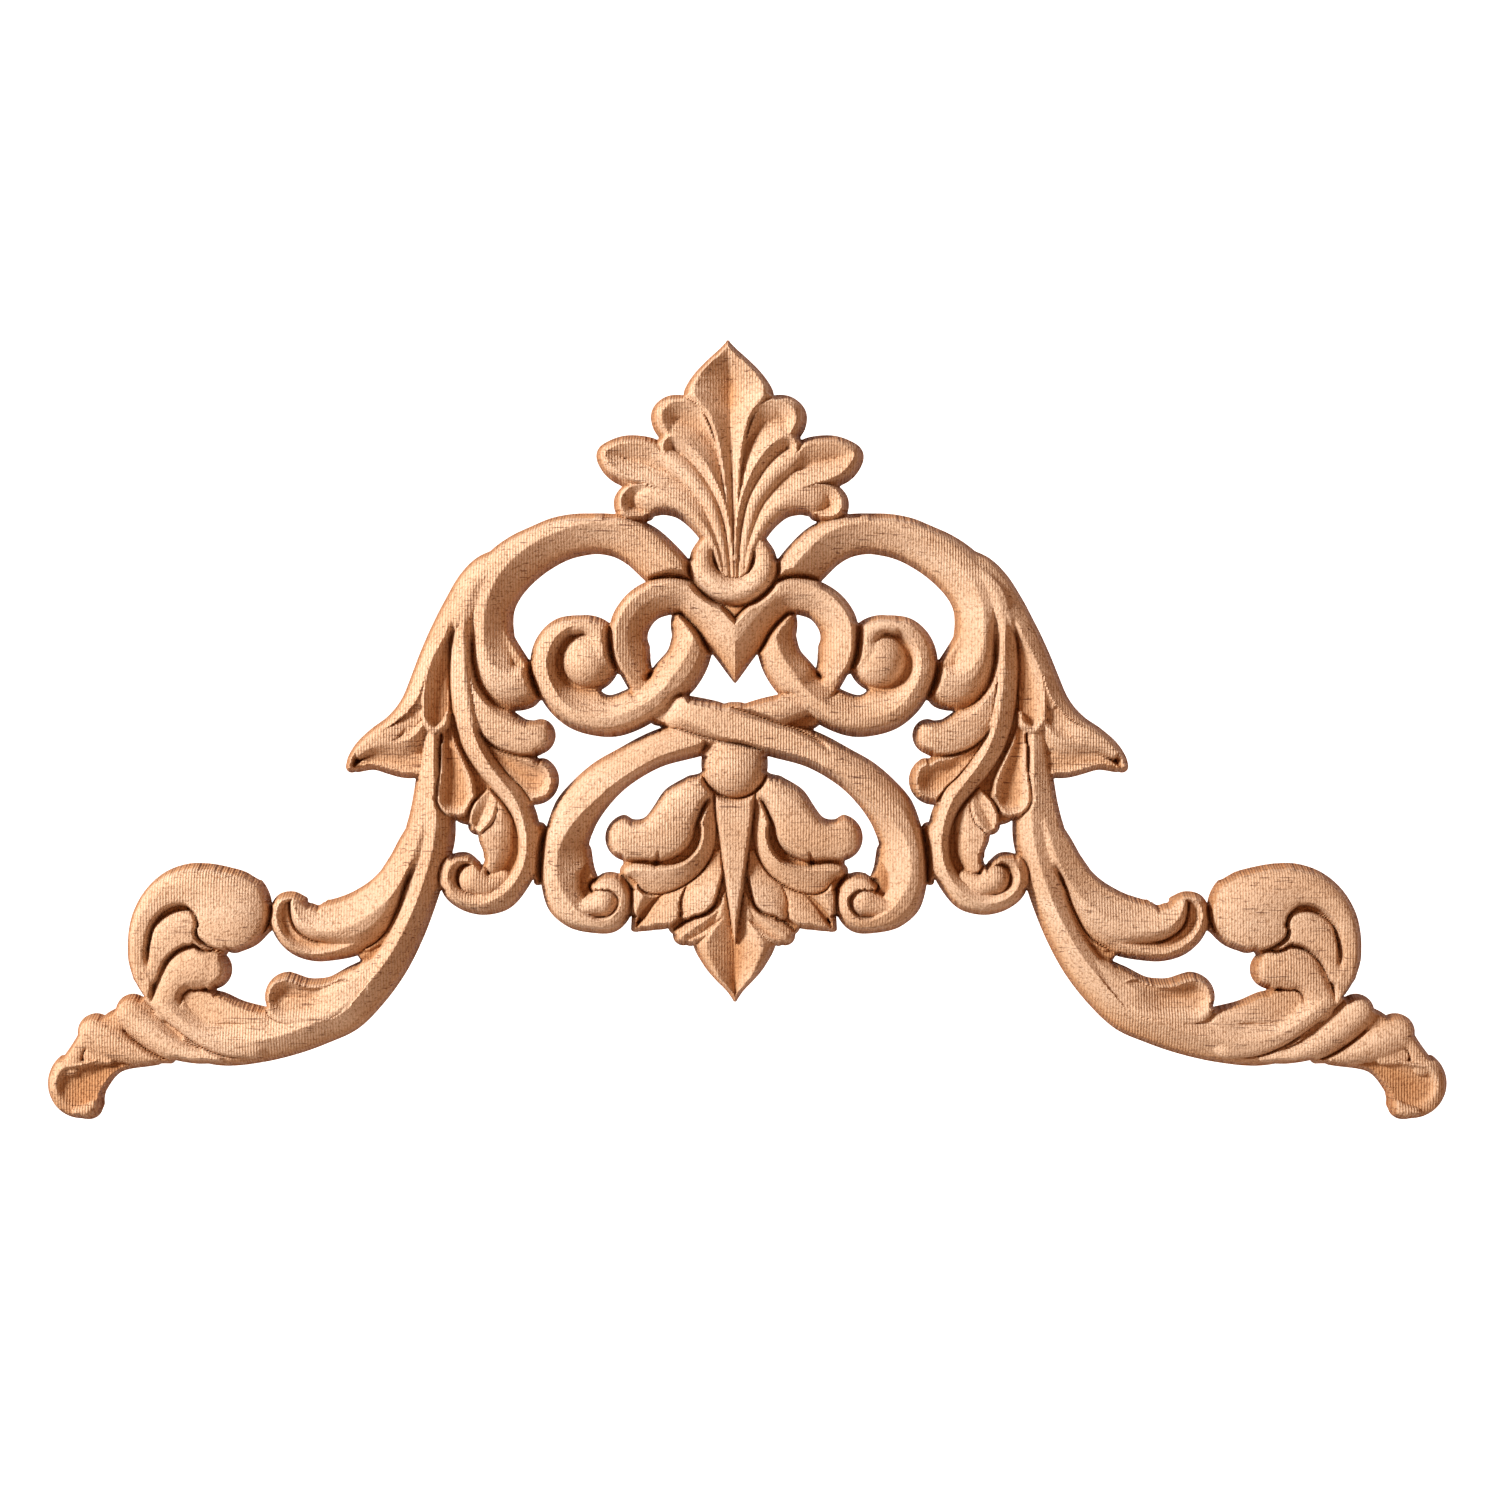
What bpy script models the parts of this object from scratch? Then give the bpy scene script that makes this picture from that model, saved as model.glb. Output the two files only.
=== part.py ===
"""Carved wooden corner onlay: a crown of leaves over paired scrolls, with two arms that sweep down and out.

It is carved from one board. X runs along its width, Z up, and the carved face looks along -Y. The flat back
that is glued to the furniture lies in the plane Y = 0. The origin is on it, behind the ball in the middle.
Sizes in the strokes are millimetres, as a carver would mark them on the board.
"""
import bpy
import bmesh
import numpy as np
from mathutils.bvhtree import BVHTree

MM = 0.001

# Driving dimensions, mm.
PITCH = 0.655              # grid that the face is carved on
GRID_HALF_WIDTH = 204.0
GRID_BOTTOM, GRID_TOP = -104.0, 126.4
THINNEST = 1.6             # least thickness of the wood
CROWN_LEAN = 0.0275        # the crown leans left by this share of its height above LEAN_FROM
LEAN_FROM = 47.7
ARM_SPREAD = 0.033         # the arms stand further right by this share of their reach past SPREAD_FROM
SPREAD_FROM = 85.2
DRAWN_IN = 0.625           # the right half stands this much nearer the middle, once DRAWN_IN_BY from it
DRAWN_IN_BY = 20.0
LEAST_SLOPE = 0.2          # slope of the outline field below which the border moves no further
BORDER_STEPS = 6           # passes that draw the border onto the outline
RELAX_STEPS = 4            # passes that even out the points beside it
STEEPEST = 3.0             # steepest wall of the carving, rise over run
WALL_PASSES = 6
MENDING_STEPS = 4
TRIANGLES = 9600           # triangles of the finished solid
BACK_BAND = 0.5            # points this close to the back lie in it
SHARP_FROM = np.radians(35)  # edges sharper than this stay crisp

# Cross-sections of a stroke: distance from its crest line as a share of its width, and share of its height.
GABLE = [(0, 1), (1, 0)]
BEAM = [(0, 1), (0.5, 0.8), (1, 0)]
ROUND = [(0, 1), (0.2, 0.97), (0.4, 0.88), (0.6, 0.72), (0.8, 0.45), (1, 0)]

STATION_GAP = 0.4          # run between two stations of a stroke
SOFTENING = 0.05           # rounding of a cross-section's corners, as a share of the width
WALL_RISE = 5.0            # height that a wall gains over one millimetre from its foot
MOAT_RISE = 3.2            # slope of what lies beside a stroke that is laid over it
WALL_EASE = 0.8            # rounding where a wall meets the carved face
MARGIN = 2.5               # reach of a stroke past its own edge
BARE = -5.0                # height where nothing is carved
FAR = 99.0
SLIGHT = 1e-9              # keeps a division from zero
NARROWEST = 0.05


def stations(rows):
    """Closely spaced stations on the smooth curve through a stroke's rows."""
    knots = np.array(rows, float)
    gaps = np.hypot(*np.diff(knots[:, :2], axis=0).T)
    knot_at = np.concatenate([[0], np.cumsum(np.sqrt(gaps))])
    if len(knots) > 2:
        slopes = np.gradient(knots, knot_at, axis=0)
    else:
        slopes = np.repeat((knots[1:] - knots[:1]) / knot_at[1], 2, axis=0)
    curve = []
    for i, gap in enumerate(gaps):
        s = np.linspace(0, 1, max(2, int(np.ceil(gap / STATION_GAP))), endpoint=False)[:, None]
        span = knot_at[i + 1] - knot_at[i]
        curve.append((2 * s**3 - 3 * s**2 + 1) * knots[i] + (s**3 - 2 * s**2 + s) * span * slopes[i]
                     + (3 * s**2 - 2 * s**3) * knots[i + 1] + (s**3 - s**2) * span * slopes[i + 1])
    return np.vstack(curve + [knots[-1:]])


def softened(section, share):
    """Height share of a cross-section at the given share of its width, with its corners eased."""
    at, level = np.array(section, float).T
    return sum(np.interp(share + k * SOFTENING, at, level) for k in (-1.5, -0.5, 0.5, 1.5)) / 4


def lower_of(a, b, ease):
    """The lower of two surfaces, with the line where they meet eased."""
    return 0.5 * (a + b - np.sqrt((a - b) ** 2 + ease * ease))


def two_sided(value, side):
    """One value, or a left and a right value blended round the ends of a stroke."""
    left, right = value if isinstance(value, tuple) else (value, value)
    return side * left + (1 - side) * right


def fade(run, length):
    """Rises from 0 to 1 over the length."""
    share = np.clip(run / length, 0, 1) if length else np.ones_like(run)
    return share * share * (3 - 2 * share)


class Carving:
    """Heights of the carved face over a grid, and how far each place lies inside the outline."""

    def __init__(self, xs, zs):
        self.xs, self.zs = xs, zs
        self.height = np.full((len(zs), len(xs)), BARE)
        self.inside = np.full((len(zs), len(xs)), -FAR)

    def window(self, low, high):
        rows = slice(*np.searchsorted(self.zs, [low[1], high[1]]))
        columns = slice(*np.searchsorted(self.xs, [low[0], high[0]]))
        return rows, columns

    def follow(self, rows):
        """For each place near a stroke: its side, the width and crest there, its distance and its run."""
        curve = stations(rows)
        steps = np.diff(curve[:, :2], axis=0)
        lengths = np.maximum(np.hypot(*steps.T), SLIGHT)
        runs = np.concatenate([[0], np.cumsum(lengths)])
        reach = curve[:, 2:4].max() + MARGIN
        whole = self.window(curve[:, :2].min(0) - reach, curve[:, :2].max(0) + reach)
        shape = self.height[whole].shape
        nearest = np.full(shape, FAR)
        values = np.zeros((5,) + shape)
        for i, (a, b) in enumerate(zip(curve, curve[1:])):
            part = self.window(np.minimum(a, b)[:2] - reach, np.maximum(a, b)[:2] + reach)
            x, z = self.xs[part[1]] - a[0], (self.zs[part[0]] - a[1])[:, None]
            here = tuple(slice(p.start - w.start, p.stop - w.start) for p, w in zip(part, whole))
            dx, dz = steps[i] / lengths[i]
            along = x * dx + z * dz
            held = np.clip(along, 0, lengths[i])
            distance = np.hypot(x - held * dx, z - held * dz)
            closer = distance < nearest[here]
            aside = z * dx - x * dz
            side = np.where(aside >= 0, 1.0, 0.0)
            past = (along < 0) if i == 0 else (along > lengths[i]) if i == len(lengths) - 1 else None
            if past is not None:
                side = np.where(past, 0.5 + 0.5 * aside / np.maximum(distance, SLIGHT), side)
            share = held / lengths[i]
            nearest[here] = np.where(closer, distance, nearest[here])
            sizes = [a[c] + (b[c] - a[c]) * share for c in (2, 3, 4)]
            for kept, value in zip(values, (side, *sizes, runs[i] + held)):
                kept[here] = np.where(closer, value, kept[here])
        side, left, right, crest, run = values
        width = np.maximum(side * left + (1 - side) * right, NARROWEST)
        return whole, side, width, crest, nearest, run, runs[-1]

    def lay(self, rows, left=GABLE, right=None, edge=7.5, foot=2.0, over=None):
        """Raises a band or leaf. Rows are (x, z, width left, width right, crest height).

        The edge is the height at its rim and the foot that of its wall, each one value or (left, right). With
        over, the stroke lies on what is there, and over holds the lengths in which that fades in and out.
        """
        place, side, width, crest, distance, run, whole_run = self.follow(rows)
        share = distance / width
        rim = two_sided(edge, side)
        ground = two_sided(foot, side)
        profile = side * softened(left, share) + (1 - side) * softened(right or left, share)
        within = width - distance
        face = lower_of(rim + (crest - rim) * profile, ground + WALL_RISE * within, WALL_EASE)
        before = self.height[place]
        joined = np.where(within > 0, np.maximum(before, face), before)
        if over is not None:
            weight = fade(run, over[0]) * fade(whole_run - run, over[1])
            cleared = np.minimum(before, ground + MOAT_RISE * np.maximum(-within, 0))
            laid = np.where(within > 0, face, cleared)
            bare = before < BARE / 2
            joined = np.where(bare, np.where(within > 0, face, before), joined * (1 - weight) + laid * weight)
        self.height[place] = joined
        self.inside[place] = np.maximum(self.inside[place], within)

    def groove(self, rows, left=GABLE, right=None):
        """Cuts a groove or hollow. Rows are (x, z, width left, width right, depth)."""
        place, side, width, depth, distance, _, _ = self.follow(rows)
        share = distance / width
        profile = side * softened(left, share) + (1 - side) * softened(right or left, share)
        self.height[place] -= np.where(share < 1, depth * profile, 0)

def arms(wood):
    """The arm that sweeps down from the shoulder and out, and the two branches on its upper side."""
    lay = wood.lay
    lay([
        (-94, -32, 2, 2, 8), (-98, -41, 3, 2.4, 8), (-102, -47, 3.4, 2.6, 8), (-105.4, -51, 1.8, 1.8, 8)
    ], edge=7.5, foot=5)
    lay([(-103, -51.6, 2.2, 2.2, 7), (-106.4, -53.2, 2.2, 2.2, 7)], edge=6.5, foot=4)
    lay([
        (-112, -50, 3, 3, 8.4), (-119, -49.6, 3, 3, 8.4), (-125, -47.4, 3, 3, 8.4),
        (-129, -43, 2.6, 2.6, 8.4), (-128.4, -39.4, 2.2, 2.2, 8.4)
    ], edge=8, foot=5)
    lay([
        (-85.6, 12, 3, 4, 11), (-85.6, 5, 2.6, 4.6, 12), (-85.3, -4, 3, 6.4, 12.6),
        (-84.9, -12, 4.6, 8.2, 12.8), (-85.3, -20, 5.2, 9.6, 13), (-87.4, -29, 4.8, 8, 13),
        (-90.6, -38, 5.1, 5.4, 13), (-94.8, -47, 5.7, 4.8, 13), (-100, -55.4, 6.4, 5, 13),
        (-106.6, -63, 7.1, 5.6, 13), (-113, -68.2, 7.8, 6.6, 13), (-119.5, -71.8, 7.2, 8, 13),
        (-128, -75.2, 6.8, 8, 12.8), (-138, -77.6, 6.7, 8.6, 12.6), (-148, -78.8, 6.4, 8, 12.4),
        (-157, -78, 5.6, 4, 12)
    ], edge=(7, 8.8))
    # branch one, with its curled end
    lay([
        (-88.6, -15, 2, 4, 11.4), (-90.6, -22, 1.4, 6, 12.4), (-93, -28.4, 1, 6.9, 12.8),
        (-95.8, -33.4, 1.6, 7.3, 13), (-99.6, -37.9, 4, 7.8, 13), (-104.6, -41.8, 7, 8.3, 13),
        (-110, -44.8, 7.4, 8.8, 13), (-116, -46.4, 4, 8.8, 13), (-121, -45.8, 3.4, 8.4, 12.8),
        (-124.6, -43.4, 3, 7, 12.6), (-126.4, -40, 2, 4.2, 12.2), (-126.8, -38.4, 1.6, 2.6, 11.8)
    ], left=[(0, 1), (0.4, 0.8), (1, 0)], right=GABLE, edge=(7.6, 8.8), over=(12, 0), foot=(6, 3))
    lay([
        (-105.6, -48.4, 3, 2, 9), (-110, -50.3, 3.6, 2.6, 10), (-116, -52.2, 2.9, 3.2, 10.6),
        (-121.4, -52.7, 2.6, 2.8, 11), (-126.4, -50.7, 3, 2.2, 11.4), (-130.4, -46.7, 3, 1.9, 11.6),
        (-131.8, -41.8, 2.9, 1.7, 11.6), (-130.6, -38.2, 2.5, 1.5, 11.4), (-127.8, -36.9, 1.6, 1.2, 11.2),
        (-124.4, -37.8, 1, 0.9, 10.8)
    ], edge=(7, 7), foot=(3, 7))
    # branch two, a spoon
    lay([
        (-103, -55, 2, 2, 11.6), (-109, -60, 4, 4, 12.3), (-116, -64, 6.6, 4.4, 12.5),
        (-123, -65.4, 6.8, 5.4, 12.5), (-129, -65.3, 7.2, 7, 12.2)
    ],
      left=[(0, 0.15), (0.4, 0.3), (0.8, 1), (1, 0.95)], right=[(0, 0.15), (0.4, 0.3), (0.72, 1), (1, 0.3)],
      edge=(8, 7.4), foot=(12.3, 4), over=(10, 0))


def volutes(wood):
    """The round volute at the arm's end, stepped down inside in two lobes, with its leaves and tail."""
    lay = wood.lay
    # tail, then the leaves beside it, each over the last
    lay([
        (-190.3, -90.2, 10, 10, 11.4), (-186.4, -87.4, 6, 6, 11.2), (-180, -84, 3.4, 3.4, 10.8),
        (-168, -83, 2, 2, 10)
    ],
      left=[(0, 0.1), (0.48, 0.3), (0.64, 1), (1, 0.2)], right=[(0, 0.1), (0.6, 0.15), (1, 0.3)], edge=7,
      foot=2.5)
    lay([
        (-191, -97.8, 2.4, 2.4, 10.6), (-187.4, -97.3, 3, 3, 10.8), (-186, -95.8, 2.4, 2.4, 10.2)
    ], left=ROUND, edge=7, foot=3)
    lay([
        (-186, -75.4, 5.2, 5.6, 11.4), (-181, -77.6, 5, 5.6, 11.6), (-174, -80.8, 3.6, 3.6, 11.2),
        (-164, -83.2, 1.4, 1.4, 10)
    ], left=BEAM, right=ROUND, edge=7.6, foot=(4, 4), over=(0, 6))
    lay([
        (-175.2, -69.6, 5, 5, 11.8), (-170.6, -73.6, 4.8, 5.2, 12), (-164, -78.4, 3.6, 4.6, 12),
        (-156.5, -81.6, 2.4, 3, 11.6), (-149, -82.4, 1.6, 2, 11)
    ], left=BEAM, right=ROUND, edge=7.8, foot=(4, 6), over=(0, 8))
    lay([
        (-187, -79.4, 3, 3.4, 9), (-180, -73.6, 4.4, 3.4, 9), (-172, -69.5, 3, 3, 9)
    ], left=BEAM, edge=7.5, foot=3)
    lay([(-172, -67.5, 2, 2, 8.4), (-165, -72.6, 3, 3, 8.4), (-157, -78, 3, 3, 8.4)], edge=8, foot=6)
    lay([(-160, -41, 3, 3, 8), (-166, -42.4, 3, 3, 8), (-168.6, -46.6, 2.6, 2.6, 8)], edge=7.5, foot=6)
    lay([
        (-187.6, -76.6, 3.6, 3.6, 10.6), (-189.8, -79.4, 3, 3, 10.2), (-191.4, -82.4, 3.4, 3.4, 10),
        (-192.6, -85, 4, 4, 10)
    ], left=ROUND, edge=8)
    lay([(-136.4, -44.6, 3, 3, 9), (-140.6, -47, 4.2, 4.2, 9), (-145, -48.4, 4.6, 4.6, 9)], edge=8)
    lay([(-148.8, -52.2, 1.8, 1.8, 8), (-153, -51.4, 2, 2, 8), (-158, -50.8, 2, 2, 8)], edge=7.5, foot=5)
    # wood in the cove
    lay([
        (-157, -66, 4, 4, 9), (-151, -69.5, 6, 4, 9.6), (-144, -72, 5.6, 4, 10.4), (-137, -73.4, 5.2, 4, 11)
    ], left=BEAM, edge=8.6, foot=4)
    # band that carries the volute
    lay([
        (-172, -46, 4, 4, 12.4), (-171.6, -54, 5, 5, 12.8), (-169, -60.6, 5, 5, 12.9),
        (-165, -66.3, 5.4, 4.2, 12.9), (-159.6, -71.4, 3.6, 3.6, 12.8), (-153.5, -75.2, 3.4, 4, 12.6),
        (-147, -77.4, 5, 4.6, 12.5), (-139, -77.8, 5, 5, 12.4)
    ], left=GABLE, right=[(0, 1), (0.6, 0.8), (1, 0.4)], edge=(8.4, 9), foot=(7, 6), over=(0, 8))
    # two lobes inside the volute, then the ring and its bulb over them
    lay([
        (-164.5, -68.5, 4, 4, 11.6), (-163.2, -62.4, 4.6, 4.4, 12.2), (-159.4, -58, 6, 6, 12.5),
        (-154, -57.2, 6.6, 6, 12.4), (-151.6, -57.6, 5.7, 5.7, 12)
    ],
      left=[(0, 1), (0.5, 0.9), (1, 0.3)], right=[(0, 1), (0.5, 0.9), (1, 0.3)], edge=8.4, foot=7,
      over=(6, 0))
    lay([
        (-170, -58.6, 3, 4, 12.6), (-168, -52.6, 4, 4.6, 12.6), (-164.2, -48, 5.2, 5.2, 12.6),
        (-159.4, -45.6, 5.4, 5.4, 12.5), (-155, -46.2, 5, 5, 12.2), (-152.6, -48.4, 3.8, 3.8, 11.6)
    ],
      left=[(0, 1), (0.5, 0.9), (1, 0.4)], right=[(0, 1), (0.8, 0.94), (1, 0.75)], edge=(8.4, 9.6), foot=7,
      over=(7, 0))
    lay([
        (-146.2, -40.3, 12, 12.2, 13.6), (-148.4, -37.9, 10.2, 10.6, 13.7), (-151.6, -35.6, 8.1, 8.5, 13.7),
        (-154.8, -34.2, 7, 7.2, 13.6), (-158.2, -33.6, 6.1, 6.3, 13.6), (-163, -34.6, 5.2, 5.5, 13.5),
        (-167.7, -37.7, 4.4, 4.7, 13.4), (-171.4, -42.8, 3.9, 4, 13.3), (-173, -48.6, 3.7, 3.6, 13.1),
        (-173.2, -54, 3.4, 3.3, 12.9), (-172, -59, 3, 3.3, 12.7)
    ], left=[(0, 1), (0.6, 0.92), (1, 0.7)], right=ROUND, edge=(9.5, 8), foot=(7.5, 3), over=(0, 8))


def shoulders(wood):
    """The outer leaf with its spur, the hollow leaf, the stem that curls up at its foot, and the lobes."""
    lay = wood.lay
    # ground that the leaves stand on
    lay([
        (-78, 34, 3, 3, 6.5), (-82, 20, 8, 6, 6.5), (-82, 8, 8, 6, 6.5), (-76, -2, 8, 7, 6.5),
        (-71, -8, 8, 6, 6.5), (-67, -16, 5, 6, 6.5), (-66, -27, 6, 6, 6.5), (-68, -31, 5, 5, 6.5)
    ], edge=6, foot=3)
    lay([(-104, 3, 3, 3, 6.5), (-98, 3.6, 5, 5, 6.5), (-88, 4, 6, 6, 6.5)], edge=6, foot=3)
    lay([
        (-69.5, 59, 1.4, 1.4, 13.9), (-72.4, 54, 2.6, 2.6, 13.8), (-75, 49, 3.2, 3.2, 13.6),
        (-76.6, 44, 3, 2.8, 13.4), (-76.8, 39, 2.2, 2, 13.2), (-76.4, 35.5, 1, 1.4, 12.8)
    ], left=[(0, 1), (1, 0.8)], edge=9, foot=8)
    # outer leaf, from the scroll down to the spur
    lay([
        (-69, 57, 6, 5, 13.8), (-73.5, 51.5, 6, 6.2, 13.6), (-77, 45.5, 5, 6.4, 13.3),
        (-80, 40.3, 3, 6.2, 13.2), (-83, 35.6, 2, 5.6, 13.1), (-86, 30.4, 1.8, 4.9, 13),
        (-88.3, 24.5, 1.8, 4.9, 12.9), (-90.3, 19.6, 1.6, 4.9, 12.6), (-93.6, 15.6, 1.6, 4.1, 12.2),
        (-98, 12.2, 1.6, 3.1, 11.9), (-103, 9.2, 1.5, 2.6, 11.6), (-107.3, 5.8, 1.5, 2.2, 11.2),
        (-109.8, 2.4, 1.6, 1.9, 10.8), (-110.4, 0.4, 1.8, 1.8, 10.4)
    ], left=[(0, 1), (0.5, 0.8), (1, 0)], right=GABLE, edge=(8, 8.3))
    # fold of the spur, and its hollow underside with a lip
    lay([
        (-87.5, 13.4, 1.6, 1.6, 11), (-88.9, 12, 3, 1.8, 12), (-90.6, 9.9, 4.6, 2.2, 12.2),
        (-93, 8.1, 6, 2.4, 12.2), (-96, 7.2, 6, 2.2, 12), (-99.6, 6.9, 5, 1.8, 11.8),
        (-104.4, 5.6, 3, 1.5, 11.4), (-107.8, 3.4, 1.2, 1.2, 10.9)
    ], left=GABLE, edge=(7.2, 9.6), foot=(7, 8))
    lay([
        (-92.6, 15, 0.8, 0.8, 9), (-95.4, 12, 1.8, 1.6, 10.8), (-99, 9.6, 2.8, 2.2, 11.7),
        (-103.6, 7.4, 2.2, 2, 11.6), (-107.6, 4.4, 1.2, 1.4, 11)
    ], left=[(0, 1), (1, 0.9)], edge=8, foot=7)
    lay([
        (-108.8, 0.3, 1.2, 1.6, 10.2), (-104, 1.9, 2.6, 2.6, 10.2), (-99, 2, 3.4, 3.9, 10.2),
        (-94, 1.2, 4, 4.2, 9.8), (-89.5, 1, 4, 3.8, 9.4)
    ], left=[(0, 0.1), (1, 0.4)], right=[(0, 0.1), (0.72, 1), (1, 0.4)], edge=(6.8, 6.8), foot=3)
    # hollow leaf
    lay([
        (-79.7, 40.6, 0.7, 0.7, 12.8), (-81.9, 35.4, 1.7, 1.7, 12.9), (-83.9, 29.6, 2.9, 2.8, 12.9),
        (-84.9, 23.6, 3.7, 3.6, 12.8), (-85.2, 18, 3.9, 3.7, 12.5), (-85.3, 13.6, 3.9, 3.6, 12.2)
    ],
      left=[(0, 0.1), (0.4, 0.22), (0.8, 1), (1, 0.5)], right=[(0, 0.1), (0.45, 0.25), (1, 1)], edge=7.6,
      foot=(6, 12.5), over=(5, 0))
    # spoon leaf
    lay([
        (-82, 12, 1.2, 1.2, 9.5), (-81.4, 6, 2.8, 2.3, 10.8), (-80.4, 1, 4.2, 3.5, 11.3),
        (-79.6, -4, 5.6, 5.1, 11.6), (-79.3, -8.3, 6, 5.8, 11.6)
    ], left=[(0, 0.1), (0.45, 0.2), (0.84, 1), (1, 0.5)], edge=7.2, foot=5, over=(3, 0))
    lay([(-79, -10, 4, 4, 6.5), (-77.4, -12.8, 3.2, 3.2, 6.5), (-74, -14, 2.6, 2.6, 6.5)], edge=6, foot=4)
    lay([
        (-55.6, -17.2, 1.6, 1.8, 6.5), (-55.6, -20, 2.4, 2.4, 6.5), (-55.8, -26, 2.2, 2.2, 6.5),
        (-56, -31, 2, 2, 6.5), (-56.6, -35, 1.8, 1.8, 6.5)
    ], edge=6, foot=3)
    lay([(-90, 17, 2.6, 2.6, 6.5), (-92.4, 13.6, 2.6, 2.6, 6.5), (-95, 11, 2, 2, 6.5)], edge=6, foot=5)
    lay([(-79.4, -31.4, 2.4, 2.4, 7), (-78.6, -29, 2.3, 2.3, 7), (-76, -27, 2, 2, 7)], edge=6.5, foot=5)
    # two small leaves below it
    lay([
        (-66, -9, 2, 2.4, 9.6), (-66.4, -14, 3, 5, 10.6), (-66.6, -19, 3.4, 6.8, 11.2),
        (-67.2, -23.6, 3.6, 5.7, 11.2), (-68.6, -27.6, 3, 3, 10.6)
    ], left=ROUND, edge=(7.6, 8), foot=(7, 4))
    lay([
        (-69.4, -6.6, 1.5, 1.6, 9), (-70.7, -10.6, 3.4, 3.6, 10.8), (-72.6, -14.4, 3.8, 3.6, 11.4),
        (-73.6, -16.4, 2.8, 2.8, 11.2)
    ], left=ROUND, edge=8.4, foot=6, over=(3, 0))
    # lobe three, then lobe two over it
    lay([
        (-73, 8.6, 1.6, 1.6, 10.6), (-68.4, 3.9, 3, 3.4, 11.2), (-63, 0.2, 4.8, 4.8, 11.5),
        (-59.2, -2.6, 6.4, 6.4, 11.5), (-57.4, -3.6, 7.1, 7, 11.5)
    ], left=[(0, 0.15), (0.4, 0.3), (0.76, 1), (1, 0.4)], edge=7, over=(5, 0), foot=4)
    lay([
        (-75.9, 41, 1, 1.6, 12.8), (-75.7, 34, 1.3, 2.4, 13.1), (-75, 27, 2.6, 3, 13.1),
        (-73, 21.2, 4.2, 4.6, 13), (-69.6, 16.6, 4.2, 7, 12.9), (-65, 13.6, 3.2, 8.4, 12.8),
        (-60.6, 11.8, 2.4, 8.4, 12.7), (-57.4, 12, 1.6, 8.4, 12.5)
    ],
      left=[(0, 1), (0.3, 0.7), (1, 0)], right=[(0, 1), (0.6, 0.8), (1, 0.4)], edge=(6.5, 8.5), over=(10, 0),
      foot=(4, 6))
    lay([
        (-59.2, 8.4, 4.8, 5, 12.2), (-58, 8.3, 5, 5.2, 12.2)
    ], left=[(0, 1), (0.5, 0.85), (1, 0)], edge=8, foot=4)
    # main stem, a long S that ends in a curl
    lay([
        (-77.6, 44, 1, 1.6, 13.1), (-77.2, 36, 1.4, 3.8, 13.4), (-77, 27, 1.8, 4.4, 13.4),
        (-76.3, 20, 2, 4.7, 13.4), (-75.1, 13, 2, 4.7, 13.4), (-73.8, 9.5, 2, 4.7, 13.3),
        (-72.6, 6.2, 1.4, 4.2, 12)
    ], left=BEAM, right=GABLE, edge=(11.5, 9.8), over=(10, 5), foot=(12.4, 6))
    lay([
        (-75.1, 13, 1, 4.7, 12.4), (-72.9, 6.6, 2, 4.7, 13.4), (-69.6, 0.8, 2.2, 4.3, 13.4),
        (-66.1, -3.8, 2.4, 4, 13.4), (-62.8, -8.2, 3.2, 3.7, 13.2), (-60.5, -13.6, 3.5, 3, 13),
        (-59.3, -20, 2.9, 2.6, 13), (-59.9, -27, 2.9, 2.6, 12.9), (-62.8, -32.8, 3.8, 3, 12.7),
        (-67, -36.6, 4.4, 3.4, 12.4), (-72, -38.6, 3.5, 3.2, 12.2), (-77, -37.5, 3.3, 2.6, 12),
        (-80.6, -34.6, 3.2, 2.4, 12), (-81.6, -30.8, 2.8, 2.4, 11.9), (-80.3, -27.4, 2.7, 2.2, 11.8),
        (-77, -26, 1.9, 1.7, 11.4), (-73.8, -27.4, 1, 1.2, 10.6)
    ], left=GABLE, right=GABLE, edge=(8.5, 9.6), over=(5, 4), foot=(7, 6))
    lay([
        (-74.3, -31.8, 4.6, 4.6, 12.4), (-70.4, -33.4, 3.6, 3.6, 11.8), (-66, -31.4, 2.4, 2.4, 10.2)
    ], left=ROUND, edge=8.4, foot=7)


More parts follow.
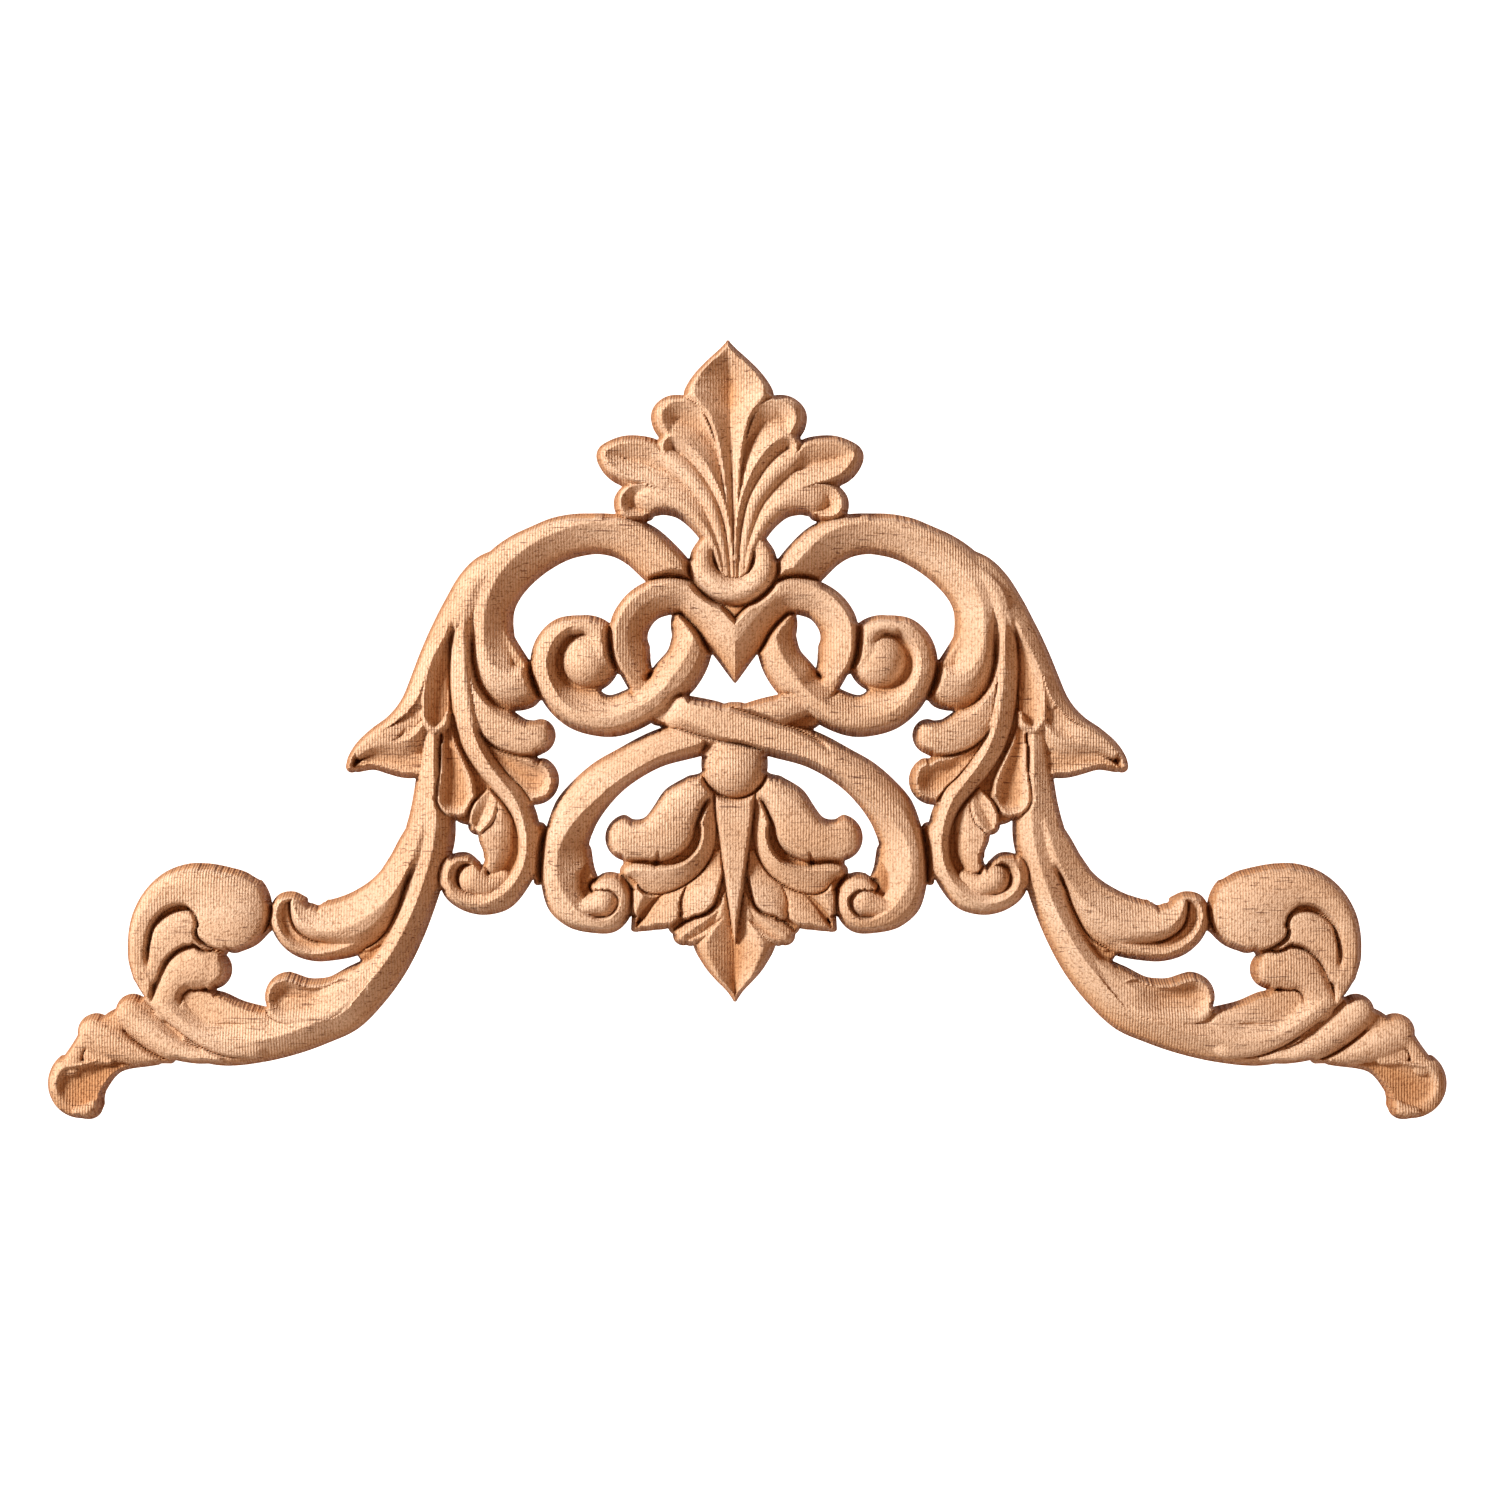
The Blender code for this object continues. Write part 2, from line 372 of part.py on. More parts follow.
def scrolls(wood):
    """The big C-scroll with its hook, the spiral inside it, and the band that folds to the middle."""
    lay = wood.lay
    lay([
        (-9, 46, 5, 4, 11), (-12.5, 50.5, 7, 4, 12.5), (-16, 55.5, 8.2, 4.9, 13.8),
        (-20.2, 60.2, 8.6, 5.1, 14), (-25, 65, 8.8, 4.7, 14), (-30, 68, 8.8, 3.9, 14),
        (-35, 69.3, 8.6, 3.4, 14), (-40, 69.5, 8.4, 3.3, 14), (-45, 68.7, 8.3, 4, 14), (-50, 67, 8, 4.8, 14),
        (-55, 64.8, 8.2, 5, 14), (-60, 61.5, 8.2, 6, 14), (-65, 57, 8.2, 6.8, 14), (-68.5, 52, 7.9, 7, 14),
        (-70.5, 47, 7.7, 6, 14), (-71.3, 42, 7.9, 5, 14), (-71.2, 36, 8.2, 4, 13.8), (-70, 31.4, 7, 5, 13.6)
    ], left=GABLE, right=[(0, 1), (0.5, 0.82), (1, 0.1)], edge=(7.5, 7.5), foot=(2.5, 2.5))
    # hook at the foot of the scroll
    lay([
        (-71.3, 44, 6, 4, 14), (-71.2, 36, 8.1, 3.9, 13.8), (-69.8, 31, 8.2, 5.4, 13.6),
        (-67, 27.7, 7.5, 8, 13.4), (-63.6, 26.3, 5, 10, 13.2), (-60.4, 27.2, 3, 9.6, 13),
        (-58.4, 28.4, 2, 6.5, 12.4)
    ],
      left=GABLE, right=[(0, 1), (0.3, 0.92), (0.6, 0.65), (1, 0)], edge=(7.5, 6), foot=(3.5, 3.5),
      over=(10, 0))
    lay([(-62.4, 25.2, 7.7, 7.7, 12.4), (-62.2, 24.2, 7.7, 7.7, 12.4)], left=ROUND, edge=6, foot=3.5)
    # wood between the spiral's ring and its ball
    lay([(-44, 30, 9, 9, 7.5), (-42, 30.5, 9, 9, 7.5)], edge=7, foot=5)
    lay([(-34.5, 38, 3, 3, 6.5), (-34, 34, 3, 3, 6.5), (-32.5, 29, 2.4, 2.4, 6.5)], edge=6)
    lay([(0, 46.6, 4, 4, 7), (0, 44.4, 3, 3, 7), (0, 43, 2, 2, 7)], edge=6.5, foot=5)
    # spiral
    lay([
        (-12, 48, 4, 4.5, 11), (-12.2, 42, 5, 6.2, 12), (-11.9, 37.6, 5.9, 6.2, 13),
        (-12.8, 34.2, 6.4, 6, 13.3), (-14.6, 30.6, 7, 5.6, 13.6), (-18, 26, 7.2, 6, 13.8),
        (-22.2, 20.8, 5.6, 6, 13.8), (-29, 16.6, 5.8, 6.2, 13.8), (-35, 14.6, 5.8, 6.4, 13.8),
        (-40, 14.4, 5.2, 8.2, 13.8), (-45, 16, 5.1, 7.4, 13.8), (-49.5, 19.8, 5, 5, 13.8),
        (-52.5, 25, 4.9, 3, 13.6), (-53.4, 30, 5.2, 2.6, 13.5), (-52.2, 35, 5, 2.6, 13.4),
        (-49, 38.8, 4.4, 2.4, 13.3), (-45, 40.3, 3.4, 2.3, 13.3), (-41.4, 39.6, 3.8, 3.2, 13.3),
        (-38.8, 37.6, 4, 4, 13.2)
    ], left=BEAM, right=GABLE, edge=(7, 7), foot=(3, 7), over=(8, 0))
    lay([
        (-39.6, 37.6, 5, 5, 13.3), (-40.2, 34.6, 6.3, 6.3, 13.6), (-41.6, 31.2, 7.7, 7.7, 13.8)
    ], left=ROUND, edge=8, foot=7)
    # fold band
    lay([
        (8, 32.5, 11.6, 1, 13.2), (4, 37.2, 11.2, 1, 13.5), (0, 41.4, 10.6, 1, 13.6),
        (-3.5, 45, 9.4, 1, 13.6), (-8, 48.9, 8.6, 1.2, 13.7), (-12, 51.6, 8.4, 1.4, 13.8),
        (-16, 52.7, 8.6, 1.7, 14), (-21, 52, 8.6, 2.4, 14), (-26, 50, 8.4, 2.6, 14),
        (-30, 46.8, 8.6, 2.6, 14), (-33, 42, 8.8, 2.5, 14), (-34, 37, 9, 1.8, 13.8),
        (-33.2, 31.5, 9.4, 1.8, 13), (-31, 27.4, 8.4, 2, 11.5), (-27.5, 23.6, 6, 3, 9.5), (-24, 21, 5, 3, 8)
    ], left=[(0, 1), (0.35, 0.8), (1, 0)], right=GABLE, edge=(7, 9), foot=(3.5, 4.5), over=(0, 10))
    lay([
        (-18.3, 25, 5, 6, 13.8), (-20.4, 22.6, 5, 5.6, 13.8), (-23, 20.4, 5, 5.3, 13.8)
    ], left=BEAM, right=GABLE, edge=(7, 6.5), foot=3, over=(3, 3))


def lower_leaves(wood):
    """The lower scroll, the hooded leaf inside it, and the leaves that hang below the middle."""
    lay, groove = wood.lay, wood.groove
    # ground
    lay([
        (-5, -6, 5, 4, 7), (-6, -16, 6, 5, 7), (-7, -24, 7, 6, 7), (-9, -31, 9, 8, 7), (-17, -36, 8, 7, 7),
        (-25, -40, 4, 4, 7)
    ], edge=6.5, foot=4)
    lay([(0, -38, 8, 8, 6.5), (0, -46, 12, 12, 6.5), (0, -52, 8, 8, 6.5)], edge=6)
    lay([
        (-12, -6, 4, 4, 6.5), (-12, -14, 5, 6, 6.5), (-14, -22, 6, 6, 6.5), (-22, -28, 6, 5, 6.5),
        (-30, -27, 2, 2, 6.5)
    ], edge=6, foot=4)
    lay([(-12.6, -41.4, 2.6, 2.6, 7), (-16.6, -45.2, 2.6, 2.6, 7)], edge=6.5, foot=4)
    lay([(-30.4, -29.6, 2.6, 2.6, 7), (-30, -33.5, 2.8, 2.8, 7), (-28.4, -37, 2.4, 2.4, 7)], edge=6.5, foot=4)
    lay([(-44, -24, 3, 3, 7), (-43.4, -29, 3.2, 3.2, 7), (-42, -32.4, 3, 3, 7)], edge=6.5, foot=3)
    # big lower scroll, curled round a ball at its foot
    lay([(-36, -38, 5, 5, 7), (-44, -38, 5, 5, 7)], edge=6.5, foot=4)
    lay([
        (0, 11, 4, 8, 12.5), (-10, 7, 3.6, 8, 13), (-22, 3, 2.9, 7.6, 13.6), (-30, -1.5, 2.8, 7.8, 13.8),
        (-35, -5, 3.2, 8.4, 13.8), (-40, -9.5, 4, 8.6, 13.8), (-45, -14.5, 5.8, 8, 13.8),
        (-48.9, -20, 7.9, 5.8, 13.8), (-50.6, -26, 9.5, 4.9, 13.6), (-50.1, -32, 10.2, 5.5, 13.4),
        (-47.6, -37, 7, 6.7, 13), (-44, -41, 4, 5.8, 12.8), (-40, -43, 1.4, 4.3, 12.6),
        (-36, -42.6, 1.1, 4.6, 12.4), (-33.4, -40, 1, 4.2, 12.3), (-33, -37, 1, 4, 12.2),
        (-35, -35, 1, 5, 12), (-37.4, -34.4, 0.9, 4.5, 11.8), (-39.6, -34.6, 0.8, 2.6, 11.2)
    ], left=GABLE, right=[(0, 1), (0.5, 0.8), (1, 0)], edge=(7, 7.5), foot=(5, 2.5), over=(8, 0))
    lay([
        (-37.6, -38.3, 4.4, 4.4, 12.6), (-40.5, -39.2, 3.6, 3.6, 12.2), (-44.5, -40.2, 2.5, 2.5, 11.8)
    ], left=ROUND, edge=8, foot=7)
    # lower leaves
    lay([
        (-14, -35, 2.5, 3, 9.4), (-18, -38.6, 5.3, 4.2, 10.8), (-21.5, -41.6, 5.1, 3.8, 11.2),
        (-25, -44, 2.9, 2.2, 10.8), (-28.2, -45.8, 1.2, 0.9, 10)
    ], left=[(0, 0.7), (0.75, 1), (1, 0.2)], right=[(0, 0.7), (1, 0.1)], edge=7.5, foot=3.5)
    lay([
        (0, -38, 5, 5, 9.6), (0, -42, 6.5, 6.5, 10.4), (0, -46, 9, 9, 11), (0, -50, 11.9, 11.9, 11.2),
        (0, -52.5, 11.3, 11.3, 11.2), (0, -55, 9.9, 9.9, 11.2), (0, -58, 7.9, 7.9, 11.2),
        (0, -61, 5.2, 5.2, 11), (0, -63.6, 2.6, 2.6, 10.6), (0, -66.2, 0.7, 0.7, 10)
    ], left=[(0, 0), (0.68, 1), (1, 0.25)], edge=7, foot=2.5)
    lay([
        (-4, -40, 2, 3, 9.6), (-8, -43, 2.6, 3, 10.4), (-12, -45.8, 3, 3, 10.8), (-14.8, -47.8, 3, 3, 10.8)
    ], left=[(0, 1), (1, 0.2)], edge=7.4, foot=(7, 5), over=(5, 0))
    lay([
        (-4, -44.5, 2, 2, 9.8), (-9, -47.8, 1.8, 2, 10.6), (-12.8, -49.4, 1.6, 1.6, 10.6)
    ], edge=7.6, foot=(5, 7))
    lay([
        (-4.5, -26, 2, 3, 9), (-7, -31.5, 3.6, 5, 10.6), (-10.3, -36.3, 5.4, 4.4, 11.3),
        (-12.6, -39.8, 4, 3.4, 11.4), (-13.8, -41.8, 1.8, 1.8, 11)
    ], left=[(0, 0.7), (0.8, 1), (1, 0.2)], right=[(0, 0.7), (1, 0.1)], edge=7.8, foot=(5.5, 7), over=(5, 0))
    # band under the hood, running down to a point
    lay([
        (-22, -31, 6, 3, 11.4), (-25, -34.5, 4, 4, 11), (-27.2, -38.8, 2.4, 2.4, 10.6),
        (-28.4, -42.5, 1.2, 1.2, 10.2), (-28.9, -46, 0.9, 0.9, 9.8)
    ], left=[(0, 1), (1, 0.2)], right=[(0, 1), (1, 0.8)], edge=7.6, foot=(6, 6))
    lay([
        (-8.2, -4, 3.4, 3, 12), (-9.4, -9, 3.8, 2.4, 12.4), (-9.8, -13, 4.2, 1.4, 12.8),
        (-9.2, -17, 4, 1, 12.8), (-9.3, -20.5, 3.9, 1, 12.8), (-10.6, -23.8, 4.2, 1, 12.7),
        (-13.8, -27, 5, 1, 12.5), (-19.4, -28.8, 6.6, 1.2, 12.2), (-24, -29, 7, 1.6, 11.8),
        (-28, -29, 4.6, 2, 11.4), (-30, -29.4, 2, 1.8, 11)
    ], left=[(0, 1), (1, 0.1)], right=GABLE, edge=(7.8, 8.5), foot=(6.4, 7), over=(3, 0))
    # hooded leaf
    lay([
        (-8, -5, 3.2, 4.2, 12.2), (-11, -7.2, 4, 5.6, 13.2), (-15, -11, 5.2, 6.9, 13.6),
        (-20, -15, 8.2, 5.6, 13.6), (-24.6, -18, 8, 4.2, 13.2), (-28, -19.4, 6.9, 5, 12.8),
        (-30.4, -19.9, 6.8, 6.7, 12.6)
    ],
      left=[(0, 1), (0.5, 0.92), (0.8, 0.7), (1, 0.2)], right=[(0, 1), (0.4, 0.92), (0.75, 0.6), (1, 0)],
      edge=(8.6, 7.6), foot=(6, 3), over=(4, 0))
    groove([(-22, -22.6, 0.5, 0.5, 1.5), (-22.2, -25, 1.1, 1.1, 5), (-22.8, -26.8, 1.4, 1.4, 4)])


def palmette(wood):
    """The crown: a central leaf, three leaves to each side, and the calyx that they grow from."""
    lay, groove = wood.lay, wood.groove
    # wood under the leaves
    lay([
        (0, 54, 5, 5, 8.8), (0, 66, 4.5, 4.5, 8.8), (0, 78, 8, 8, 8.8), (0, 92, 15, 15, 8.8),
        (0, 101, 17, 17, 8.8), (0, 107, 11, 11, 8.8)
    ], left=[(0, 1), (0.85, 1), (1, 0)], edge=7, foot=4)
    lay([
        (-4, 70, 4, 4, 8.9), (-14, 81, 7, 7, 8.9), (-22, 85.4, 8.4, 8.4, 8.9), (-28, 87, 7.4, 7, 8.9)
    ], left=[(0, 1), (0.85, 1), (1, 0)], edge=7, foot=4)
    # ridge round the central leaf
    lay([
        (-0.9, 70, 1, 1.2, 10.5), (-1.7, 80, 1.4, 2, 11.8), (-2.5, 87, 1.7, 2.8, 12.4),
        (-3.5, 93, 2.6, 3.8, 12.8), (-4.7, 97.5, 4.4, 5, 13), (-6.3, 101, 5, 6.4, 13.2),
        (-8.4, 103.6, 3.6, 6, 13.3)
    ], left=GABLE, right=GABLE, edge=(8, 8.6), foot=(3, 8.6))
    lay([
        (0, 121.8, 0.5, 0.5, 12.4), (0, 119.5, 2.8, 2.8, 12.9), (0, 116, 6.7, 6.7, 13.3),
        (0, 113, 9.6, 9.6, 13.4), (0, 110, 11.8, 11.8, 13.4), (0, 107.5, 13, 13, 13.4),
        (0, 106, 13, 13, 13.3), (0, 103.6, 10.8, 10.8, 13.2)
    ], left=[(0, 0), (0.78, 1), (1, 0.3)], edge=8, foot=3)
    # upper side leaf
    lay([
        (-6.5, 101.6, 5, 1.5, 12.2), (-10.6, 104, 5.6, 1.6, 12.4), (-14.2, 104.3, 5.2, 2.4, 12.5),
        (-17.2, 103.3, 5, 3, 12.5), (-19.2, 101, 5, 3.3, 12.4), (-19.2, 98.2, 4.4, 3.1, 12.4),
        (-17.8, 95.6, 3.4, 2.8, 12.4), (-16.4, 93.6, 1.2, 2.6, 12)
    ], left=GABLE, edge=(8.6, 8), foot=(8.4, 4))
    # small leaf between
    lay([
        (-0.3, 54, 1.4, 0.8, 10), (-0.5, 62, 1.8, 1, 11.2), (-1, 69, 2.2, 1.3, 12), (-2.2, 75, 3, 1.6, 12.4),
        (-4.2, 80.5, 3.4, 2.4, 12.7), (-6.8, 85.6, 3.8, 4, 12.9), (-10, 89.9, 4, 5.2, 13),
        (-13.5, 93, 4, 5.6, 13), (-16.6, 94.2, 3.6, 4.8, 12.8), (-18.6, 93.2, 3.4, 2.4, 12.6),
        (-19.2, 90.8, 3, 1.8, 12.3), (-18.4, 88.2, 2.6, 1.6, 11.8)
    ], left=GABLE, edge=(8.4, 8.6), foot=(8.2, 8.4))
    lay([
        (-2.2, 55, 1.4, 1.4, 10.2), (-3.4, 64, 1.8, 1.8, 11.2), (-5, 71, 2.4, 2.2, 11.8),
        (-6.9, 76.2, 2.8, 2.6, 12), (-9.4, 80, 3.2, 2.8, 12.2), (-13, 84.2, 3.4, 3.2, 12.2),
        (-16.6, 87, 3.4, 3.4, 12.1), (-19.4, 89, 2.6, 3, 11.8)
    ], left=ROUND, right=ROUND, edge=8.6, foot=8.2)
    # big side leaf
    lay([
        (-19.6, 89.4, 4.4, 2, 11.8), (-22, 91.5, 5, 2.5, 12.2), (-26, 92.3, 5, 2.7, 12.3),
        (-30, 92.2, 4.4, 2.8, 12.3), (-33.4, 91.2, 4, 2.7, 12.2), (-35.6, 89.4, 4, 2.9, 12),
        (-34.4, 86.4, 5.4, 3, 12), (-31.8, 83.8, 6.4, 2.8, 12), (-28.4, 82, 7, 2, 12),
        (-24.4, 80.9, 7.4, 1.8, 12), (-20, 79.4, 7, 2, 11.8)
    ], left=GABLE, edge=(8.8, 8), foot=(8.6, 3.5))
    # low side leaf with its bowl
    lay([
        (-3.4, 55, 1.4, 1.6, 10.4), (-4.7, 61, 2, 2.3, 11.6), (-6.8, 66.5, 3, 2.6, 12.1),
        (-10, 71.6, 3.8, 4, 12.4), (-14, 75.2, 4.3, 5.4, 12.4), (-18.5, 77.4, 5.4, 7, 12.2),
        (-22.5, 78.4, 6.8, 7, 11.6)
    ], left=ROUND, right=GABLE, edge=(6.8, 8.8), foot=(3.5, 8.6))
    lay([
        (-22, 79.8, 4.6, 1.4, 11.6), (-26, 80.6, 5, 1.4, 11.8), (-29.6, 79.4, 5, 1.8, 11.9),
        (-31.5, 76.8, 5, 2.2, 11.9), (-31.6, 74.2, 5, 2.2, 11.8), (-30.2, 72.2, 4.4, 2.2, 11.4),
        (-27.2, 71.4, 3.8, 1.5, 10.8), (-24.6, 71.7, 3, 1.2, 10.2)
    ], left=[(0, 1), (0.7, 0.2), (1, 0)], right=GABLE, edge=(7.4, 7.4), foot=(7.4, 3.5))
    # calyx
    lay([
        (-7.6, 64.2, 2.6, 2.6, 11.2), (-8.9, 60.4, 3.2, 3.6, 12), (-8.7, 56.2, 3.6, 4.1, 12.5),
        (-6.4, 52.8, 4, 4, 12.8), (-3, 50.4, 4.1, 3.8, 13), (3, 49.6, 4.1, 3.8, 13)
    ], left=ROUND, edge=8, foot=5, over=(3, 0))
    groove([
        (-6, 61.5, 0.7, 0.7, 1), (-5.6, 59.5, 1, 1, 3.5), (-4.8, 57.2, 0.9, 0.9, 3.5),
        (-3.9, 55.2, 0.7, 0.7, 1)
    ])


def centre(wood):
    """The long spike and the ball."""
    lay = wood.lay
    lay([
        (0, -7, 6, 6, 12.4), (0, -12, 5.7, 5.7, 12.4), (0, -24, 4.1, 4.1, 12.4), (0, -33, 2.9, 2.9, 12.4),
        (0, -49.8, 0.3, 0.3, 12)
    ], left=[(0, 1), (0.82, 1), (1, 0.5)], edge=9.6, foot=7, over=(0, 0))
    lay([(0, 1.4, 9.7, 9.7, 14), (0, 1, 9.7, 9.7, 14)], left=ROUND, edge=8, foot=6, over=(0, 0))


def crossing(wood):
    """The two straps that cross above the ball, which aren't alike left and right."""
    lay = wood.lay
    lay([(-22, 15, 3, 3, 7), (-12, 14, 4, 4, 7), (12, 13, 4, 4, 7), (22, 14.4, 3.4, 3.4, 7)], edge=6)
    lay([
        (22, 19.6, 4.6, 3, 10), (14, 16.4, 4.4, 4.8, 12.4), (8, 14.6, 4, 5.2, 12.8), (3, 13.2, 3.6, 5, 12.8),
        (-6, 10, 4, 5, 12.8)
    ], left=[(0, 1), (0.5, 0.85), (1, 0.2)], right=[(0, 1), (0.7, 0.8), (1, 0.2)], edge=8, foot=6)
    lay([
        (-23, 18, 2.4, 2, 9), (-20, 16.6, 3.4, 2.6, 12), (-14, 14, 7.2, 3.2, 14), (-8, 10.9, 8.8, 2.2, 14.4),
        (-4, 9, 9, 1.4, 14.4), (2, 7.7, 8.2, 1, 14.4), (10, 5.3, 7.8, 1, 14.3), (16, 3.4, 7.8, 1.6, 14),
        (24, 0, 8, 3, 13.6)
    ], left=[(0, 1), (0.85, 0.78), (1, 0.3)], right=GABLE, edge=(9.4, 9.8), foot=(7, 8.5), over=(6, 8))

def lean_and_spread(x, z):
    """The carving's own slight skew: its crown leans left and its right arm reaches a little further."""
    lean = CROWN_LEAN * np.maximum(z - LEAN_FROM, 0)
    spread = ARM_SPREAD * np.maximum(np.abs(x) - SPREAD_FROM, 0)
    drawn_in = DRAWN_IN * np.clip(x / DRAWN_IN_BY, 0, 1)
    return x - lean + spread - drawn_in


def sampled(grid, wood, x, z):
    """A grid's value between its points."""
    column = (x - wood.xs[0]) / PITCH
    row = (z - wood.zs[0]) / PITCH
    i = np.clip(column.astype(int), 0, len(wood.xs) - 2)
    j = np.clip(row.astype(int), 0, len(wood.zs) - 2)
    u, v = column - i, row - j
    low = grid[j, i] * (1 - u) + grid[j, i + 1] * u
    high = grid[j + 1, i] * (1 - u) + grid[j + 1, i + 1] * u
    return low * (1 - v) + high * v


def carved_wood():
    """The whole carved face: the left half, its mirror image, and the straps that cross in the middle."""
    columns = round(GRID_HALF_WIDTH / PITCH)
    xs = np.arange(-columns, columns + 1) * PITCH
    zs = np.arange(GRID_BOTTOM, GRID_TOP + PITCH / 2, PITCH)
    half = Carving(xs[:columns + 1], zs)
    for carve in (arms, volutes, shoulders, scrolls, lower_leaves, palmette, centre):
        carve(half)
    wood = Carving(xs, zs)
    wood.height = np.hstack([half.height, half.height[:, -2::-1]])
    wood.inside = np.hstack([half.inside, half.inside[:, -2::-1]])
    crossing(wood)
    wood.height = eased_walls(wood.height)
    return wood


def eased_walls(height):
    """Lowers what stands closer to a drop than the steepest wall allows."""
    for _ in range(WALL_PASSES):
        for axis in (0, 1):
            for shift in (1, -1):
                beside = np.roll(height, shift, axis)
                height = np.minimum(height, np.maximum(beside, 0) + STEEPEST * PITCH)
    return height


def face_sheet(wood):
    """Flat grid trimmed to the outline, with its border drawn onto it."""
    rows, columns = wood.height.shape
    sheet = bmesh.new()
    bmesh.ops.create_grid(sheet, x_segments=columns - 1, y_segments=rows - 1, size=1.0)
    bmesh.ops.scale(sheet, verts=sheet.verts, vec=(wood.xs[-1], (wood.zs[-1] - wood.zs[0]) / 2, 1))
    bmesh.ops.translate(sheet, verts=sheet.verts, vec=(0, (wood.zs[-1] + wood.zs[0]) / 2, 0))
    points = np.array([v.co[:2] for v in sheet.verts])
    within = sampled(wood.inside, wood, *points.T)
    outside = [f for f in sheet.faces if sum(within[v.index] for v in f.verts) <= 0]
    bmesh.ops.delete(sheet, geom=outside, context="FACES")
    pinched = [v for v in sheet.verts if sum(e.is_boundary for e in v.link_edges) > 2]
    bmesh.ops.delete(sheet, geom=pinched, context="VERTS")
    border = [v for v in sheet.verts if v.is_boundary]
    points = np.array([v.co[:2] for v in border])
    slope_z, slope_x = np.gradient(wood.inside, PITCH)
    for _ in range(BORDER_STEPS):
        within, gx, gz = (sampled(g, wood, *points.T) for g in (wood.inside, slope_x, slope_z))
        stretch = within / np.maximum(gx * gx + gz * gz, LEAST_SLOPE)
        points -= np.clip(np.stack([gx * stretch, gz * stretch], 1), -PITCH / 2, PITCH / 2)
    for vert, (x, z) in zip(border, points):
        vert.co.x, vert.co.y = x, z
    beside = {v for b in border for e in b.link_edges for v in (e.other_vert(b),) if not v.is_boundary}
    for _ in range(RELAX_STEPS):
        bmesh.ops.smooth_vert(sheet, verts=list(beside), factor=0.5, use_axis_x=True, use_axis_y=True)
    return sheet


def lift(sheet, wood):
    """Stands the sheet upright, facing -Y, and gives each point its carved height."""
    points = np.array([v.co[:2] for v in sheet.verts])
    heights = np.maximum(sampled(np.maximum(wood.height, THINNEST), wood, *points.T), THINNEST)
    places = lean_and_spread(*points.T)
    for vert, x, z, height in zip(sheet.verts, places, points[:, 1], heights):
        vert.co = (x * MM, -height * MM, z * MM)


def thinned(mesh, share):
    """Fewer faces where the carving is plain, through a Decimate modifier."""
    carrier = bpy.data.objects.new("carrier", mesh)
    bpy.context.scene.collection.objects.link(carrier)
    decimate = carrier.modifiers.new("Decimate", "DECIMATE")
    decimate.ratio = share
    fewer = bpy.data.meshes.new_from_object(carrier.evaluated_get(bpy.context.evaluated_depsgraph_get()))
    bpy.data.objects.remove(carrier)
    return fewer


def backed(sheet):
    """Walls from the border to the flat back, and the back itself."""
    border = [e for e in sheet.edges if e.is_boundary]
    walls = bmesh.ops.extrude_edge_only(sheet, edges=border)["geom"]
    for vert in (g for g in walls if isinstance(g, bmesh.types.BMVert)):
        vert.co.y = 0
    rim = [g for g in walls if isinstance(g, bmesh.types.BMEdge) and g.is_boundary]
    bmesh.ops.triangle_fill(sheet, use_beauty=True, edges=rim)
    bmesh.ops.recalc_face_normals(sheet, faces=sheet.faces)
    bmesh.ops.triangulate(sheet, faces=sheet.faces)


def crossed_points(solid):
    """Points of facets that cut through each other."""
    solid.faces.ensure_lookup_table()
    tree = BVHTree.FromBMesh(solid)
    found = set()
    for a, b in tree.overlap(tree):
        corners = set(solid.faces[a].verts), set(solid.faces[b].verts)
        if not corners[0] & corners[1]:
            found |= corners[0] | corners[1]
    return sorted((v for v in found if v.co.y < 0), key=lambda v: v.index)


def uncrossed(mesh):
    """Evens out the few places where thinning made two facets cut through each other."""
    solid = bmesh.new()
    solid.from_mesh(mesh)
    for _ in range(MENDING_STEPS):
        points = crossed_points(solid)
        if not points:
            break
        bmesh.ops.smooth_vert(
            solid, verts=points, factor=0.5, use_axis_x=True, use_axis_y=True, use_axis_z=True)
    solid.to_mesh(mesh)
    solid.free()

def raw_wood():
    """Unfinished pale wood, straight from the carving machine."""
    material = bpy.data.materials.new("raw_wood")
    material.use_nodes = True
    shader = material.node_tree.nodes["Principled BSDF"]
    shader.inputs["Base Color"].default_value = (0.67, 0.37, 0.19, 1)
    shader.inputs["Roughness"].default_value = 0.7
    shader.inputs["Metallic"].default_value = 0.0
    return material


def clear_scene():
    for thing in list(bpy.data.objects):
        bpy.data.objects.remove(thing)


def make_onlay():
    wood = carved_wood()
    sheet = face_sheet(wood)
    lift(sheet, wood)
    backed(sheet)
    fine = bpy.data.meshes.new("fine")
    sheet.to_mesh(fine)
    mesh = thinned(fine, TRIANGLES / len(sheet.faces))
    sheet.free()
    bpy.data.meshes.remove(fine)
    for vert in mesh.vertices:
        if vert.co.y > -BACK_BAND * MM:
            vert.co.y = 0
    uncrossed(mesh)
    mesh.name = "onlay"
    mesh.materials.append(raw_wood())
    mesh.shade_smooth()
    mesh.set_sharp_from_angle(angle=SHARP_FROM)
    return bpy.data.objects.new("onlay", mesh)


clear_scene()
collection = bpy.data.collections.new("wooden_corner_onlay")
bpy.context.scene.collection.children.link(collection)
collection.objects.link(make_onlay())
